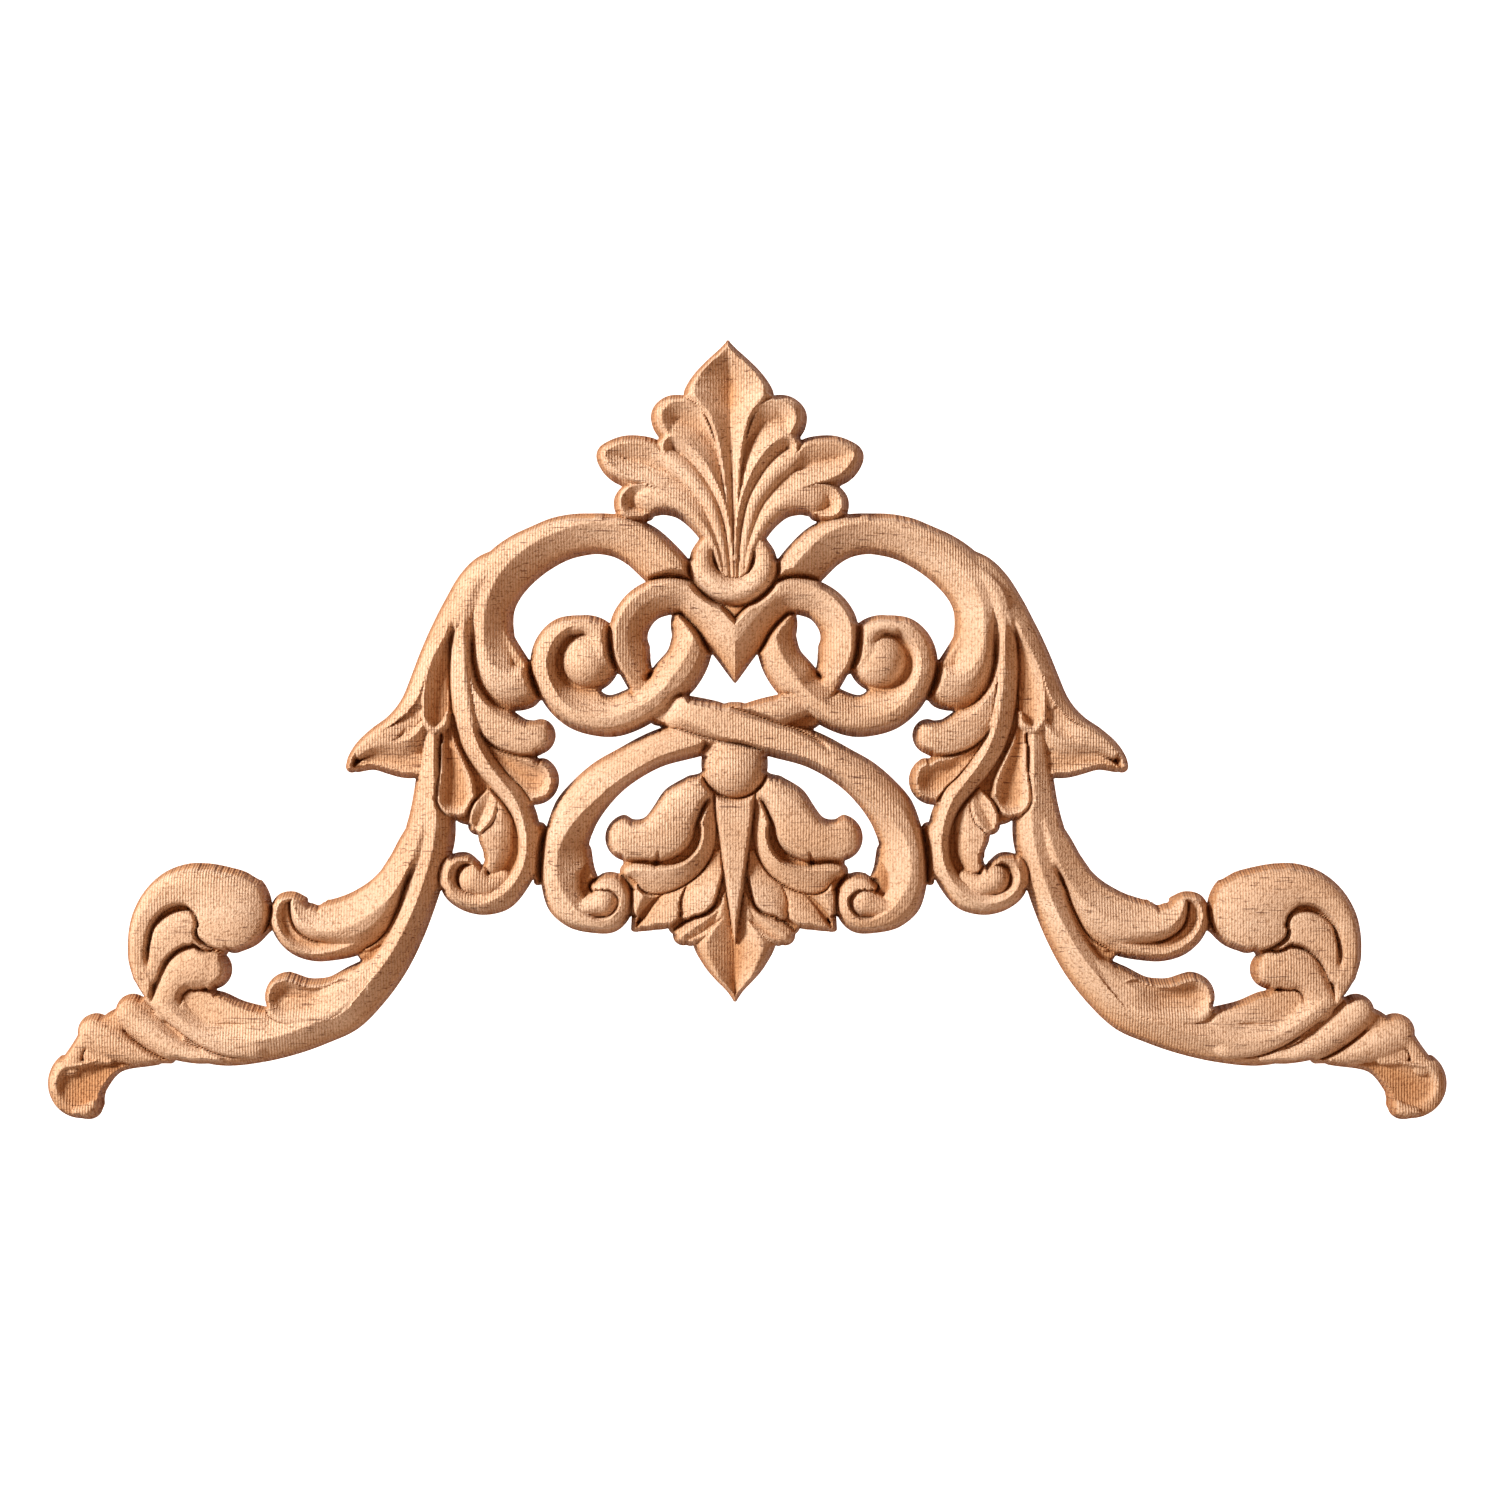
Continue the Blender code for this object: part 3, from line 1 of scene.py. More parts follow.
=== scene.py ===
import bpy
import bmesh
import numpy as np
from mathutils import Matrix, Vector


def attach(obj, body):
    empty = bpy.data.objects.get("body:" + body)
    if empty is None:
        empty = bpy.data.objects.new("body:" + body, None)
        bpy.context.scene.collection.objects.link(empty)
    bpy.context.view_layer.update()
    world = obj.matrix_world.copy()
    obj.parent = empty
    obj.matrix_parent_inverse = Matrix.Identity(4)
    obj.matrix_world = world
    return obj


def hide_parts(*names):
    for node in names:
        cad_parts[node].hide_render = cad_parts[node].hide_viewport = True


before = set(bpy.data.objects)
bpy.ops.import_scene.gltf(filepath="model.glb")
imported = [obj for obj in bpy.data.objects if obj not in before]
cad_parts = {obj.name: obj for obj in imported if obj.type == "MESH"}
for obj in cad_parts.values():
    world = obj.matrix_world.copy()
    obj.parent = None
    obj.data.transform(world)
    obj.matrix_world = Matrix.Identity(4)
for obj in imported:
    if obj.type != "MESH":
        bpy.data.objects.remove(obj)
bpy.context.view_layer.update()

# The carved onlay. One piece of raw pale hardwood, cut by a carving machine with a small round bit. A leaf
# or band is a stroke: a line on the board with a width to each side and a height, in millimetres. The
# carved face looks along -Y, and the flat back is glued or pinned to the furniture.
MM = 0.001
PITCH = 0.4                # step of the grid that the face is carved on
GRID_HALF_WIDTH = 204.0
GRID_BOTTOM, GRID_TOP = -104.0, 126.4
THINNEST = 1.6             # least height of the face over the back
CROWN_LEAN = 0.0275        # lean of the crown to the left, as a share of its height over LEAN_FROM
LEAN_FROM = 47.7
ARM_SPREAD = 0.033         # shift of the arms to the right, as a share of their length past SPREAD_FROM
SPREAD_FROM = 85.2
DRAWN_IN = 0.625           # how much nearer the right half stands, from DRAWN_IN_BY on
DRAWN_IN_BY = 20.0
STEEPEST = 5.0             # slope of the steepest wall
WALL_PASSES = 6            # rounds that ease the walls to it
BORDER_STEPS = 6           # rounds that draw the border of the grid onto the outline
LEAST_SLOPE = 0.2          # keeps a border point from leaping where the outline is faint
RELAX_STEPS = 3            # rounds that even out the grid beside its border
TRIANGLES = 190000
SHARP_ANGLE = 42           # degrees past which an edge is shaded sharp

# Cross-sections of a stroke: distance from its crest line as a share of its width, and share of its height.
GABLE = [(0, 1), (1, 0)]
BEAM = [(0, 1), (0.5, 0.8), (1, 0)]
ROUND = [(0, 1), (0.2, 0.97), (0.4, 0.88), (0.6, 0.72), (0.8, 0.45), (1, 0)]
PLATE = [(0, 1), (0.85, 1), (1, 0)]
FLAT = [(0, 1), (1, 0.9)]
SLANT = [(0, 1), (1, 0.2)]
LEAF = [(0, 0.7), (1, 0.1)]

STATION_GAP = 0.4          # run between two stations of a stroke
SOFTENING = 0.025          # rounding of a cross-section's corners, as a share of the width
ACROSS_CORNER = (-1.5, -0.5, 0.5, 1.5)   # places whose heights are averaged, in steps of it
WALL_RISE = 5.0            # height that a wall gains over one millimetre from its foot
MOAT_RISE = 4.5            # slope of what lies beside a stroke that is laid over it
WALL_EASE = 0.5            # rounding where a wall meets the carved face
MARGIN = 2.5               # reach of a stroke past its own edge
BARE = -5.0                # height where nothing is carved
FAR = 99.0                 # further than any place from a stroke
SLIGHT = 1e-9              # keeps a division from zero
NARROWEST = 0.05


def stations(rows):
    """Closely spaced stations on the smooth curve through a stroke's rows."""
    knots = np.array(rows, float)
    gaps = np.hypot(*np.diff(knots[:, :2], axis=0).T)
    knot_at = np.concatenate([[0], np.cumsum(np.sqrt(gaps))])
    if len(knots) > 2:
        slopes = np.gradient(knots, knot_at, axis=0)
    else:
        slopes = np.repeat((knots[1:] - knots[:1]) / knot_at[1], 2, axis=0)
    curve = []
    for i, gap in enumerate(gaps):
        s = np.linspace(0, 1, max(2, int(np.ceil(gap / STATION_GAP))), endpoint=False)[:, None]
        span = knot_at[i + 1] - knot_at[i]
        curve.append((2 * s**3 - 3 * s**2 + 1) * knots[i] + (s**3 - 2 * s**2 + s) * span * slopes[i]
                     + (3 * s**2 - 2 * s**3) * knots[i + 1] + (s**3 - s**2) * span * slopes[i + 1])
    return np.vstack(curve + [knots[-1:]])


def softened(section, share):
    """Height share of a cross-section at the given share of its width, with its corners eased."""
    at, level = np.array(section, float).T
    heights = [np.interp(share + step * SOFTENING, at, level) for step in ACROSS_CORNER]
    return sum(heights) / len(heights)


def lower_of(a, b, ease):
    """The lower of two surfaces, with the line where they meet eased."""
    return 0.5 * (a + b - np.sqrt((a - b) ** 2 + ease * ease))


def two_sided(value, side):
    """One value, or a left and a right value blended round the ends of a stroke."""
    left, right = value if isinstance(value, tuple) else (value, value)
    return side * left + (1 - side) * right


def fade(run, length):
    """Rises from 0 to 1 over the length."""
    share = np.clip(run / length, 0, 1) if length else np.ones_like(run)
    return share * share * (3 - 2 * share)


class Carving:
    """Heights of the carved face over a grid, and how far each place lies inside the outline."""

    def __init__(self, xs, zs):
        self.xs, self.zs = xs, zs
        self.height = np.full((len(zs), len(xs)), BARE)
        self.inside = np.full((len(zs), len(xs)), -FAR)

    def window(self, low, high):
        """Rows and columns of the grid between two corners."""
        rows = slice(*np.searchsorted(self.zs, [low[1], high[1]]))
        columns = slice(*np.searchsorted(self.xs, [low[0], high[0]]))
        return rows, columns

    def follow(self, rows):
        """For each place near a stroke: its side, the width and crest there, its distance and its run."""
        curve = stations(rows)
        steps = np.diff(curve[:, :2], axis=0)
        lengths = np.maximum(np.hypot(*steps.T), SLIGHT)
        runs = np.concatenate([[0], np.cumsum(lengths)])
        reach = curve[:, 2:4].max() + MARGIN
        whole = self.window(curve[:, :2].min(0) - reach, curve[:, :2].max(0) + reach)
        shape = self.height[whole].shape
        nearest = np.full(shape, FAR)
        # side, widths, crest and run at the stroke's nearest point
        values = np.zeros((5,) + shape)
        for i, (a, b) in enumerate(zip(curve, curve[1:])):
            part = self.window(np.minimum(a, b)[:2] - reach, np.maximum(a, b)[:2] + reach)
            x, z = self.xs[part[1]] - a[0], (self.zs[part[0]] - a[1])[:, None]
            here = tuple(slice(p.start - w.start, p.stop - w.start) for p, w in zip(part, whole))
            dx, dz = steps[i] / lengths[i]
            along = x * dx + z * dz
            held = np.clip(along, 0, lengths[i])
            distance = np.hypot(x - held * dx, z - held * dz)
            closer = distance < nearest[here]
            aside = z * dx - x * dz
            side = np.where(aside >= 0, 1.0, 0.0)
            past = (along < 0) if i == 0 else (along > lengths[i]) if i == len(lengths) - 1 else None
            if past is not None:
                side = np.where(past, 0.5 + 0.5 * aside / np.maximum(distance, SLIGHT), side)
            share = held / lengths[i]
            nearest[here] = np.where(closer, distance, nearest[here])
            sizes = [a[c] + (b[c] - a[c]) * share for c in (2, 3, 4)]
            for kept, value in zip(values, (side, *sizes, runs[i] + held)):
                kept[here] = np.where(closer, value, kept[here])
        side, left, right, crest, run = values
        width = np.maximum(side * left + (1 - side) * right, NARROWEST)
        return whole, side, width, crest, nearest, run, runs[-1]

    def lay(self, rows, left=GABLE, right=None, edge=7.5, foot=2.0, over=None):
        """Raises a band or leaf. Rows are (x, z, width left, width right, crest height).

        The edge is the height at its rim and the foot that of its wall, each one value or (left, right).
        With over, the stroke lies on what is there, and fades in and out over those two lengths.
        """
        place, side, width, crest, distance, run, whole_run = self.follow(rows)
        share = distance / width
        rim = two_sided(edge, side)
        ground = two_sided(foot, side)
        profile = side * softened(left, share) + (1 - side) * softened(right or left, share)
        within = width - distance
        face = lower_of(rim + (crest - rim) * profile, ground + WALL_RISE * within, WALL_EASE)
        before = self.height[place]
        joined = np.where(within > 0, np.maximum(before, face), before)
        if over is not None:
            weight = fade(run, over[0]) * fade(whole_run - run, over[1])
            cleared = np.minimum(before, ground + MOAT_RISE * np.maximum(-within, 0))
            laid = np.where(within > 0, face, cleared)
            alone = np.where(within > 0, face, before)
            joined = np.where(before < BARE / 2, alone, joined * (1 - weight) + laid * weight)
        self.height[place] = joined
        self.inside[place] = np.maximum(self.inside[place], within)

    def groove(self, rows, left=GABLE, right=None):
        """Cuts a groove or hollow. Rows are (x, z, width left, width right, depth)."""
        place, side, width, depth, distance, _, _ = self.follow(rows)
        share = distance / width
        profile = side * softened(left, share) + (1 - side) * softened(right or left, share)
        self.height[place] -= np.where(share < 1, depth * profile, 0)


def arms(wood):
    """The arm that sweeps down from the shoulder and out, and the two branches on its upper side."""
    lay = wood.lay
    lay([
        (-94, -32, 2, 2, 8), (-98, -41, 3, 2.4, 8), (-102, -47, 3.4, 2.6, 8), (-105.4, -51, 1.8, 1.8, 8)
    ], foot=5)
    lay([(-103, -51.6, 2.2, 2.2, 7), (-106.4, -53.2, 2.2, 2.2, 7)], edge=6.5, foot=4)
    lay([
        (-112, -50, 3, 3, 8.4), (-119, -49.6, 3, 3, 8.4), (-125, -47.4, 3, 3, 8.4),
        (-129, -43, 2.6, 2.6, 8.4), (-128.4, -39.4, 2.2, 2.2, 8.4)
    ], edge=8, foot=5)
    lay([
        (-85.6, 12, 3, 4, 11), (-85.6, 5, 2.6, 4.6, 12), (-85.3, -4, 3, 6.4, 12.6),
        (-84.9, -12, 4.6, 8.2, 12.8), (-85.3, -20, 5.2, 9.6, 13), (-87.4, -29, 4.8, 8, 13),
        (-90.6, -38, 5.1, 5.4, 13), (-94.8, -47, 5.7, 4.8, 13), (-100, -55.4, 6.4, 5, 13),
        (-106.6, -63, 7.1, 5.6, 13), (-113, -68.2, 7.8, 6.6, 13), (-119.5, -71.8, 7.2, 8, 13),
        (-128, -75.2, 6.8, 8, 12.8), (-138, -77.6, 6.7, 8.6, 12.6), (-148, -78.8, 6.4, 8, 12.4),
        (-157, -78, 5.6, 4, 12)
    ], edge=(7, 8.8))
    # branch one, with its curled end
    lay([
        (-88.6, -15, 2, 4, 11.6), (-90.6, -22, 1.8, 6, 12.6), (-93, -28.4, 1.8, 6.9, 12.9),
        (-95.8, -33.4, 1.6, 7.3, 13)
    ], left=[(0, 1), (1, 0.3)], right=GABLE, edge=(11, 8.8), over=(12, 5), foot=(12.4, 3))
    lay([
        (-91.6, -25.4, 0.8, 6.2, 12.6), (-93, -28.4, 1, 6.9, 12.8), (-95.8, -33.4, 1.6, 7.3, 13),
        (-99.6, -37.9, 4, 7.8, 13), (-104.6, -41.8, 7, 8.3, 13), (-110, -44.8, 7.4, 8.8, 13),
        (-116, -46.4, 4, 8.8, 13), (-121, -45.8, 3.4, 8.4, 12.8), (-124.6, -43.4, 3, 7, 12.6),
        (-126.4, -40, 2, 4.2, 12.2), (-126.8, -38.4, 1.6, 2.6, 11.8)
    ], left=[(0, 1), (0.4, 0.8), (1, 0)], right=GABLE, edge=(7.6, 8.8), over=(7, 0), foot=(6, 3))
    lay([
        (-105.6, -48.4, 3, 2, 9), (-110, -50.3, 3.6, 2.6, 10), (-116, -52.2, 2.9, 3.2, 10.6),
        (-121.4, -52.7, 2.6, 2.8, 11), (-126.4, -50.7, 3, 2.2, 11.4), (-130.4, -46.7, 3, 1.9, 11.6),
        (-131.8, -41.8, 2.9, 1.7, 11.6), (-130.6, -38.2, 2.5, 1.5, 11.4), (-127.8, -36.9, 1.6, 1.2, 11.2),
        (-124.4, -37.8, 1, 0.9, 10.8)
    ], edge=7, foot=(3, 7))
    # branch two, a spoon
    lay([
        (-103, -55, 2, 2, 11.6), (-109, -60, 4, 4, 12), (-116, -64, 6.6, 4.4, 12),
        (-121, -65.2, 6.6, 5, 11.6)
    ], left=[(0, 0.9), (1, 0.95)], right=[(0, 0.9), (1, 0.1)], edge=(8, 7.4), foot=(12.3, 4), over=(8, 0))
    lay([
        (-113.4, -62.8, 5.2, 4.2, 12), (-117, -64.2, 6.6, 4.4, 12.4), (-123, -65.4, 6.8, 5.4, 12.5),
        (-129, -65.3, 7.2, 7, 12.2)
    ], left=[(0, 0.15), (0.4, 0.3), (0.8, 1), (1, 0.95)],
        right=[(0, 0.15), (0.4, 0.3), (0.72, 1), (1, 0.3)], edge=(8, 7.4), foot=(12.3, 4), over=(10, 0))


def volutes(wood):
    """The round volute at the arm's end, stepped down inside in two lobes, with its leaves and tail."""
    lay = wood.lay
    # tail, then the leaves beside it, each over the last
    lay([
        (-190.3, -90.2, 10, 10, 11.4), (-186.4, -87.4, 6, 6, 11.2), (-180, -84, 3.4, 3.4, 10.8),
        (-168, -83, 2, 2, 10)
    ], left=[(0, 0.1), (0.48, 0.3), (0.64, 1), (1, 0.2)], right=[(0, 0.1), (0.6, 0.15), (1, 0.3)], edge=7,
        foot=2.5)
    lay([
        (-191, -97.8, 2.4, 2.4, 10.6), (-187.4, -97.3, 3, 3, 10.8), (-186, -95.8, 2.4, 2.4, 10.2)
    ], left=ROUND, edge=7, foot=3)
    lay([
        (-186, -75.4, 5.2, 5.6, 11.4), (-181, -77.6, 5, 5.6, 11.6), (-174, -80.8, 3.6, 3.6, 11.2),
        (-164, -83.2, 1.4, 1.4, 10)
    ], left=BEAM, right=ROUND, edge=(7.6, 8.8), foot=(7, 9), over=(0, 6))
    lay([
        (-175.2, -69.6, 5, 5, 11.8), (-170.6, -73.6, 4.8, 5.2, 12), (-164, -78.4, 3.6, 4.6, 12),
        (-156.5, -81.6, 2.4, 3, 11.6), (-149, -82.4, 1.6, 2, 11)
    ], left=BEAM, right=ROUND, edge=(8.6, 8), foot=(9, 6.5), over=(0, 8))
    lay([(-187, -79.4, 3, 3.4, 9), (-180, -73.6, 4.4, 3.4, 9), (-172, -69.5, 3, 3, 9)], left=BEAM, foot=3)
    lay([(-172, -67.5, 2, 2, 8.4), (-165, -72.6, 3, 3, 8.4), (-157, -78, 3, 3, 8.4)], edge=8, foot=6)
    lay([(-160, -41, 3, 3, 8), (-166, -42.4, 3, 3, 8), (-168.6, -46.6, 2.6, 2.6, 8)], foot=6)
    lay([(-186.4, -82, 2.6, 2.6, 9.8), (-182, -82, 2.6, 2.6, 9.8)], left=FLAT, edge=9, foot=8)
    lay([
        (-187.6, -76.6, 3.6, 3.6, 10.6), (-189.8, -79.4, 3, 3, 10.2), (-191.4, -82.4, 3.4, 3.4, 10),
        (-192.6, -85, 4, 4, 10)
    ], left=ROUND, edge=8)
    lay([(-136.4, -44.6, 3, 3, 9), (-140.6, -47, 4.2, 4.2, 9), (-145, -48.4, 4.6, 4.6, 9)], edge=8)
    lay([(-148.8, -52.2, 1.8, 1.8, 8), (-153, -51.4, 2, 2, 8), (-158, -50.8, 2, 2, 8)], foot=5)
    # wood in the cove
    lay([
        (-157, -66, 4, 4, 9), (-151, -69.5, 6, 5, 9.6), (-144, -72, 5.6, 5.4, 10.6),
        (-137, -73.4, 5.2, 5.4, 11.4)
    ], left=BEAM, right=[(0, 1), (1, 1)], edge=8.8, foot=4)
    # band that carries the volute
    lay([
        (-172, -46, 4, 4, 12.4), (-171.6, -54, 5, 5, 12.8), (-169, -60.6, 5, 5, 12.9),
        (-165, -66.3, 5.4, 4.2, 12.9), (-159.6, -71.4, 3.6, 3.6, 12.8), (-153.5, -75.2, 3.4, 4, 12.6),
        (-147, -77.4, 5, 4.6, 12.5), (-139, -77.8, 5, 5, 12.4)
    ], right=[(0, 1), (0.6, 0.8), (1, 0.4)], edge=(9.4, 9), foot=(9.6, 8), over=(0, 8))
    # two lobes inside the volute, then the ring and its bulb over them
    lay([
        (-164.5, -68.5, 4, 4, 11.6), (-163.2, -62.4, 4.6, 4.4, 12.2), (-159.4, -58, 6, 6, 12.5),
        (-154, -57.2, 6.6, 6, 12.4), (-151.6, -57.6, 5.7, 5.7, 12)
    ], left=[(0, 1), (0.5, 0.9), (1, 0.3)], edge=8.4, foot=7, over=(6, 0))
    lay([
        (-170, -58.6, 3, 4, 12.6), (-168, -52.6, 4, 4.6, 12.6), (-164.2, -48, 5.2, 5.2, 12.6),
        (-159.4, -45.6, 5.4, 5.4, 12.5), (-155, -46.2, 5, 5, 12.2), (-152.6, -48.4, 3.8, 3.8, 11.6)
    ], left=[(0, 1), (0.5, 0.9), (1, 0.4)], right=[(0, 1), (0.8, 0.94), (1, 0.75)], edge=(8.4, 9.6),
        foot=7, over=(7, 0))
    lay([
        (-146.2, -40.3, 12, 12.2, 13.6), (-148.4, -37.9, 10.2, 10.6, 13.7),
        (-151.6, -35.6, 8.1, 8.5, 13.7), (-154.8, -34.2, 7, 7.2, 13.6), (-158.2, -33.6, 6.1, 6.3, 13.6),
        (-163, -34.6, 5.2, 5.5, 13.5), (-167.7, -37.7, 4.4, 4.7, 13.4), (-171.4, -42.8, 3.9, 4, 13.3),
        (-173, -48.6, 3.7, 3.6, 13.1), (-173.2, -54, 3.4, 3.3, 12.9), (-172, -59, 3, 3.3, 12.7)
    ], left=[(0, 1), (0.6, 0.92), (1, 0.7)], right=ROUND, edge=(9.5, 8), foot=(7.5, 3), over=(0, 8))


def shoulders(wood):
    """The outer leaf with its spur, the hollow leaf, the stem that curls up at its foot, and the lobes."""
    lay = wood.lay
    # ground that the leaves stand on
    lay([
        (-78, 34, 3, 3, 6.5), (-82, 20, 8, 6, 6.5), (-82, 8, 8, 6, 6.5), (-76, -2, 8, 7, 6.5),
        (-71, -8, 8, 6, 6.5), (-67, -16, 5, 6, 6.5), (-66, -27, 6, 6, 6.5), (-68, -31, 5, 5, 6.5)
    ], edge=6, foot=3)
    lay([(-104, 3, 3, 3, 6.5), (-98, 3.6, 5, 5, 6.5), (-88, 4, 6, 6, 6.5)], edge=6, foot=3)
    lay([
        (-69.5, 57.6, 1, 1, 12.4), (-72.4, 53.6, 2.4, 2.4, 13.4), (-75, 49, 3.2, 3.2, 13.6),
        (-76.6, 44, 3, 2.8, 13.4), (-76.8, 39, 2.2, 2, 13.2), (-76.4, 35.5, 1, 1.4, 12.8)
    ], left=[(0, 1), (1, 0.8)], edge=9, foot=8)
    # outer leaf, from the scroll down to the spur
    lay([
        (-66.5, 58.6, 3.4, 4.6, 12), (-69.8, 55.6, 4.8, 5.9, 13.2), (-73.4, 51.5, 5.2, 6.3, 13.5),
        (-77, 45.5, 5, 6.4, 13.3), (-80, 40.3, 3, 6.2, 13.2), (-83, 35.6, 2, 5.6, 13.1),
        (-86, 30.4, 1.8, 4.9, 13), (-88.3, 24.5, 1.8, 4.9, 12.9), (-90.3, 19.6, 1.6, 4.9, 12.6),
        (-93.6, 15.6, 1.6, 4.1, 12.2), (-98, 12.2, 1.6, 3.1, 11.9), (-103, 9.2, 1.5, 2.6, 11.6),
        (-107.3, 5.8, 1.5, 2.2, 11.2), (-109.8, 2.4, 1.6, 1.9, 10.8), (-110.4, 0.4, 1.8, 1.8, 10.4)
    ], left=BEAM, right=GABLE, edge=(8, 8.3))
    # fold of the spur, and its hollow underside with a lip
    lay([
        (-87.5, 13.4, 1.6, 1.6, 11), (-88.9, 12, 3, 1.8, 12), (-90.6, 9.9, 4.6, 2.2, 12.2),
        (-93, 8.1, 6, 2.4, 12.2), (-96, 7.2, 6, 2.2, 12), (-99.6, 6.9, 5, 1.8, 11.8),
        (-104.4, 5.6, 3, 1.5, 11.4), (-107.8, 3.4, 1.2, 1.2, 10.9)
    ], edge=(7.2, 9.6), foot=(7, 8))
    lay([
        (-92.6, 15, 0.8, 0.8, 9), (-95.4, 12, 1.8, 1.6, 10.8), (-99, 9.6, 2.8, 2.2, 11.7),
        (-103.6, 7.4, 2.2, 2, 11.6), (-107.6, 4.4, 1.2, 1.4, 11)
    ], left=FLAT, edge=9.4, foot=9)
    lay([
        (-108.8, 0.3, 1.2, 1.6, 10.2), (-104, 1.9, 2.6, 2.6, 10.2), (-99, 2, 3.4, 3.9, 10.2),
        (-94, 1.2, 4, 4.2, 9.8), (-89.5, 1, 4, 3.8, 9.4)
    ], left=[(0, 0.1), (1, 0.4)], right=[(0, 0.1), (0.72, 1), (1, 0.4)], edge=(8.2, 8), foot=3)
    # hollow leaf
    lay([
        (-79.7, 40.6, 0.7, 0.7, 12.8), (-81.9, 35.4, 1.7, 1.7, 12.9), (-83.9, 29.6, 2.9, 2.8, 12.9),
        (-84.9, 23.6, 3.7, 3.6, 12.8), (-85.2, 18, 3.9, 3.7, 12.5), (-85.3, 13.6, 3.9, 3.6, 12.2)
    ], left=[(0, 0.08), (1, 0.02)], right=[(0, 0.08), (0.55, 0.5), (0.84, 1), (1, 0.9)], edge=7.8,
        foot=12.5, over=(5, 0))
    lay([
        (-88.5, 19, 0.8, 0.8, 12.6), (-88.2, 14, 1.2, 1.2, 12.4), (-85.4, 10.6, 1.4, 1.4, 12.2),
        (-82.6, 12.4, 1.3, 1.3, 12), (-81.6, 15.6, 0.8, 0.8, 11.6)
    ], left=ROUND, edge=9, foot=9)
    # spoon leaf
    lay([
        (-82, 12, 1.2, 1.2, 9.5), (-81.4, 6, 2.8, 2.3, 10.8), (-80.4, 1, 4.2, 3.5, 11.3),
        (-79.6, -4, 5.6, 5.1, 11.6), (-79.3, -8.3, 6, 5.8, 11.6)
    ], left=[(0, 0.1), (0.45, 0.2), (0.84, 1), (1, 0.5)], edge=7.2, foot=(6, 9.4), over=(3, 0))
    lay([(-79, -10, 4, 4, 6.5), (-77.4, -12.8, 3.2, 3.2, 6.5), (-74, -14, 2.6, 2.6, 6.5)], edge=6, foot=4)
    lay([
        (-55.6, -17.2, 1.6, 1.8, 6.5), (-55.6, -20, 2.4, 2.4, 9), (-55.8, -26, 2.2, 2.2, 9),
        (-56, -30, 1.8, 1.8, 8.6), (-56.4, -32.4, 1.2, 1.2, 7)
    ], edge=7, foot=5)
    lay([
        (-87, 27, 1.4, 1.4, 12), (-89.2, 21.4, 1.6, 1.4, 12), (-90.4, 18, 1.6, 1.6, 11)
    ], left=FLAT, edge=10.4, foot=9)
    lay([
        (-90, 17, 2.6, 2.6, 10.2), (-92.4, 13.6, 2.6, 2.6, 10.2), (-95, 11, 2.2, 2.2, 10.2),
        (-98, 9, 1.6, 1.6, 10.2)
    ], left=FLAT, edge=9.8, foot=9)
    lay([(-79.4, -31.4, 2.4, 2.4, 7), (-78.6, -29, 2.3, 2.3, 7), (-76, -27, 2, 2, 7)], edge=6.5, foot=5)
    # two small leaves below it
    lay([
        (-66, -9, 2, 2.4, 9.6), (-66.4, -14, 3, 5, 10), (-66.6, -19, 3.4, 6.8, 10.2),
        (-67.2, -23.6, 3.6, 5.7, 10.4), (-68.6, -27.6, 3, 3, 10.2)
    ], left=[(0, 1), (1, 0.1)], right=[(0, 1), (0.7, 1.1), (1, 0.4)], edge=(7.6, 8), foot=(7, 4))
    lay([
        (-69.4, -6.6, 1.5, 1.6, 9), (-70.7, -10.6, 3.4, 3.6, 10.6), (-72.6, -14.4, 3.8, 3.6, 11.4),
        (-73.6, -16.4, 2.8, 2.8, 11.4)
    ], left=[(0, 0.1), (0.74, 1), (1, 0.5)], edge=8.8, foot=(9, 6), over=(3, 0))
    # lobe three, then lobe two over it
    lay([
        (-73, 8.6, 1.6, 1.6, 10.6), (-68.4, 3.9, 3, 3.4, 11.2), (-63, 0.2, 4.8, 4.8, 11.5),
        (-59.2, -2.6, 6.4, 6.4, 11.5), (-57.4, -3.6, 7.1, 7, 11.5)
    ], left=[(0, 0.15), (0.4, 0.3), (0.76, 1), (1, 0.4)], edge=7, over=(5, 0), foot=4)
    lay([
        (-75.6, 41, 1.4, 1.6, 13), (-75.3, 34, 1.9, 2.4, 13.2), (-74.6, 27, 3, 3, 13.1),
        (-72.6, 21.2, 4.2, 4.6, 13), (-69.4, 16.6, 4.2, 6, 12.6)
    ], left=BEAM, right=[(0, 1), (0.6, 0.9), (1, 0.6)], edge=(9.8, 9.6), over=(8, 3), foot=(8.6, 8.8))
    lay([
        (-74.6, 27, 2.6, 3, 13), (-72.6, 21.2, 4.2, 4.6, 13), (-69.2, 16.2, 4.2, 7, 12.9),
        (-65, 13.6, 3.2, 8.4, 12.8), (-60.6, 11.8, 2.4, 8.4, 12.7), (-57.4, 12, 1.6, 8.4, 12.5)
    ], left=[(0, 1), (0.3, 0.7), (1, 0)], right=[(0, 1), (0.6, 0.8), (1, 0.4)], edge=(7, 8.5), over=(9, 0),
        foot=(5, 6))
    lay([
        (-59.2, 8.4, 4.8, 5, 12.2), (-58, 8.3, 5, 5.2, 12.2)
    ], left=[(0, 1), (0.5, 0.85), (1, 0)], edge=8, foot=4)
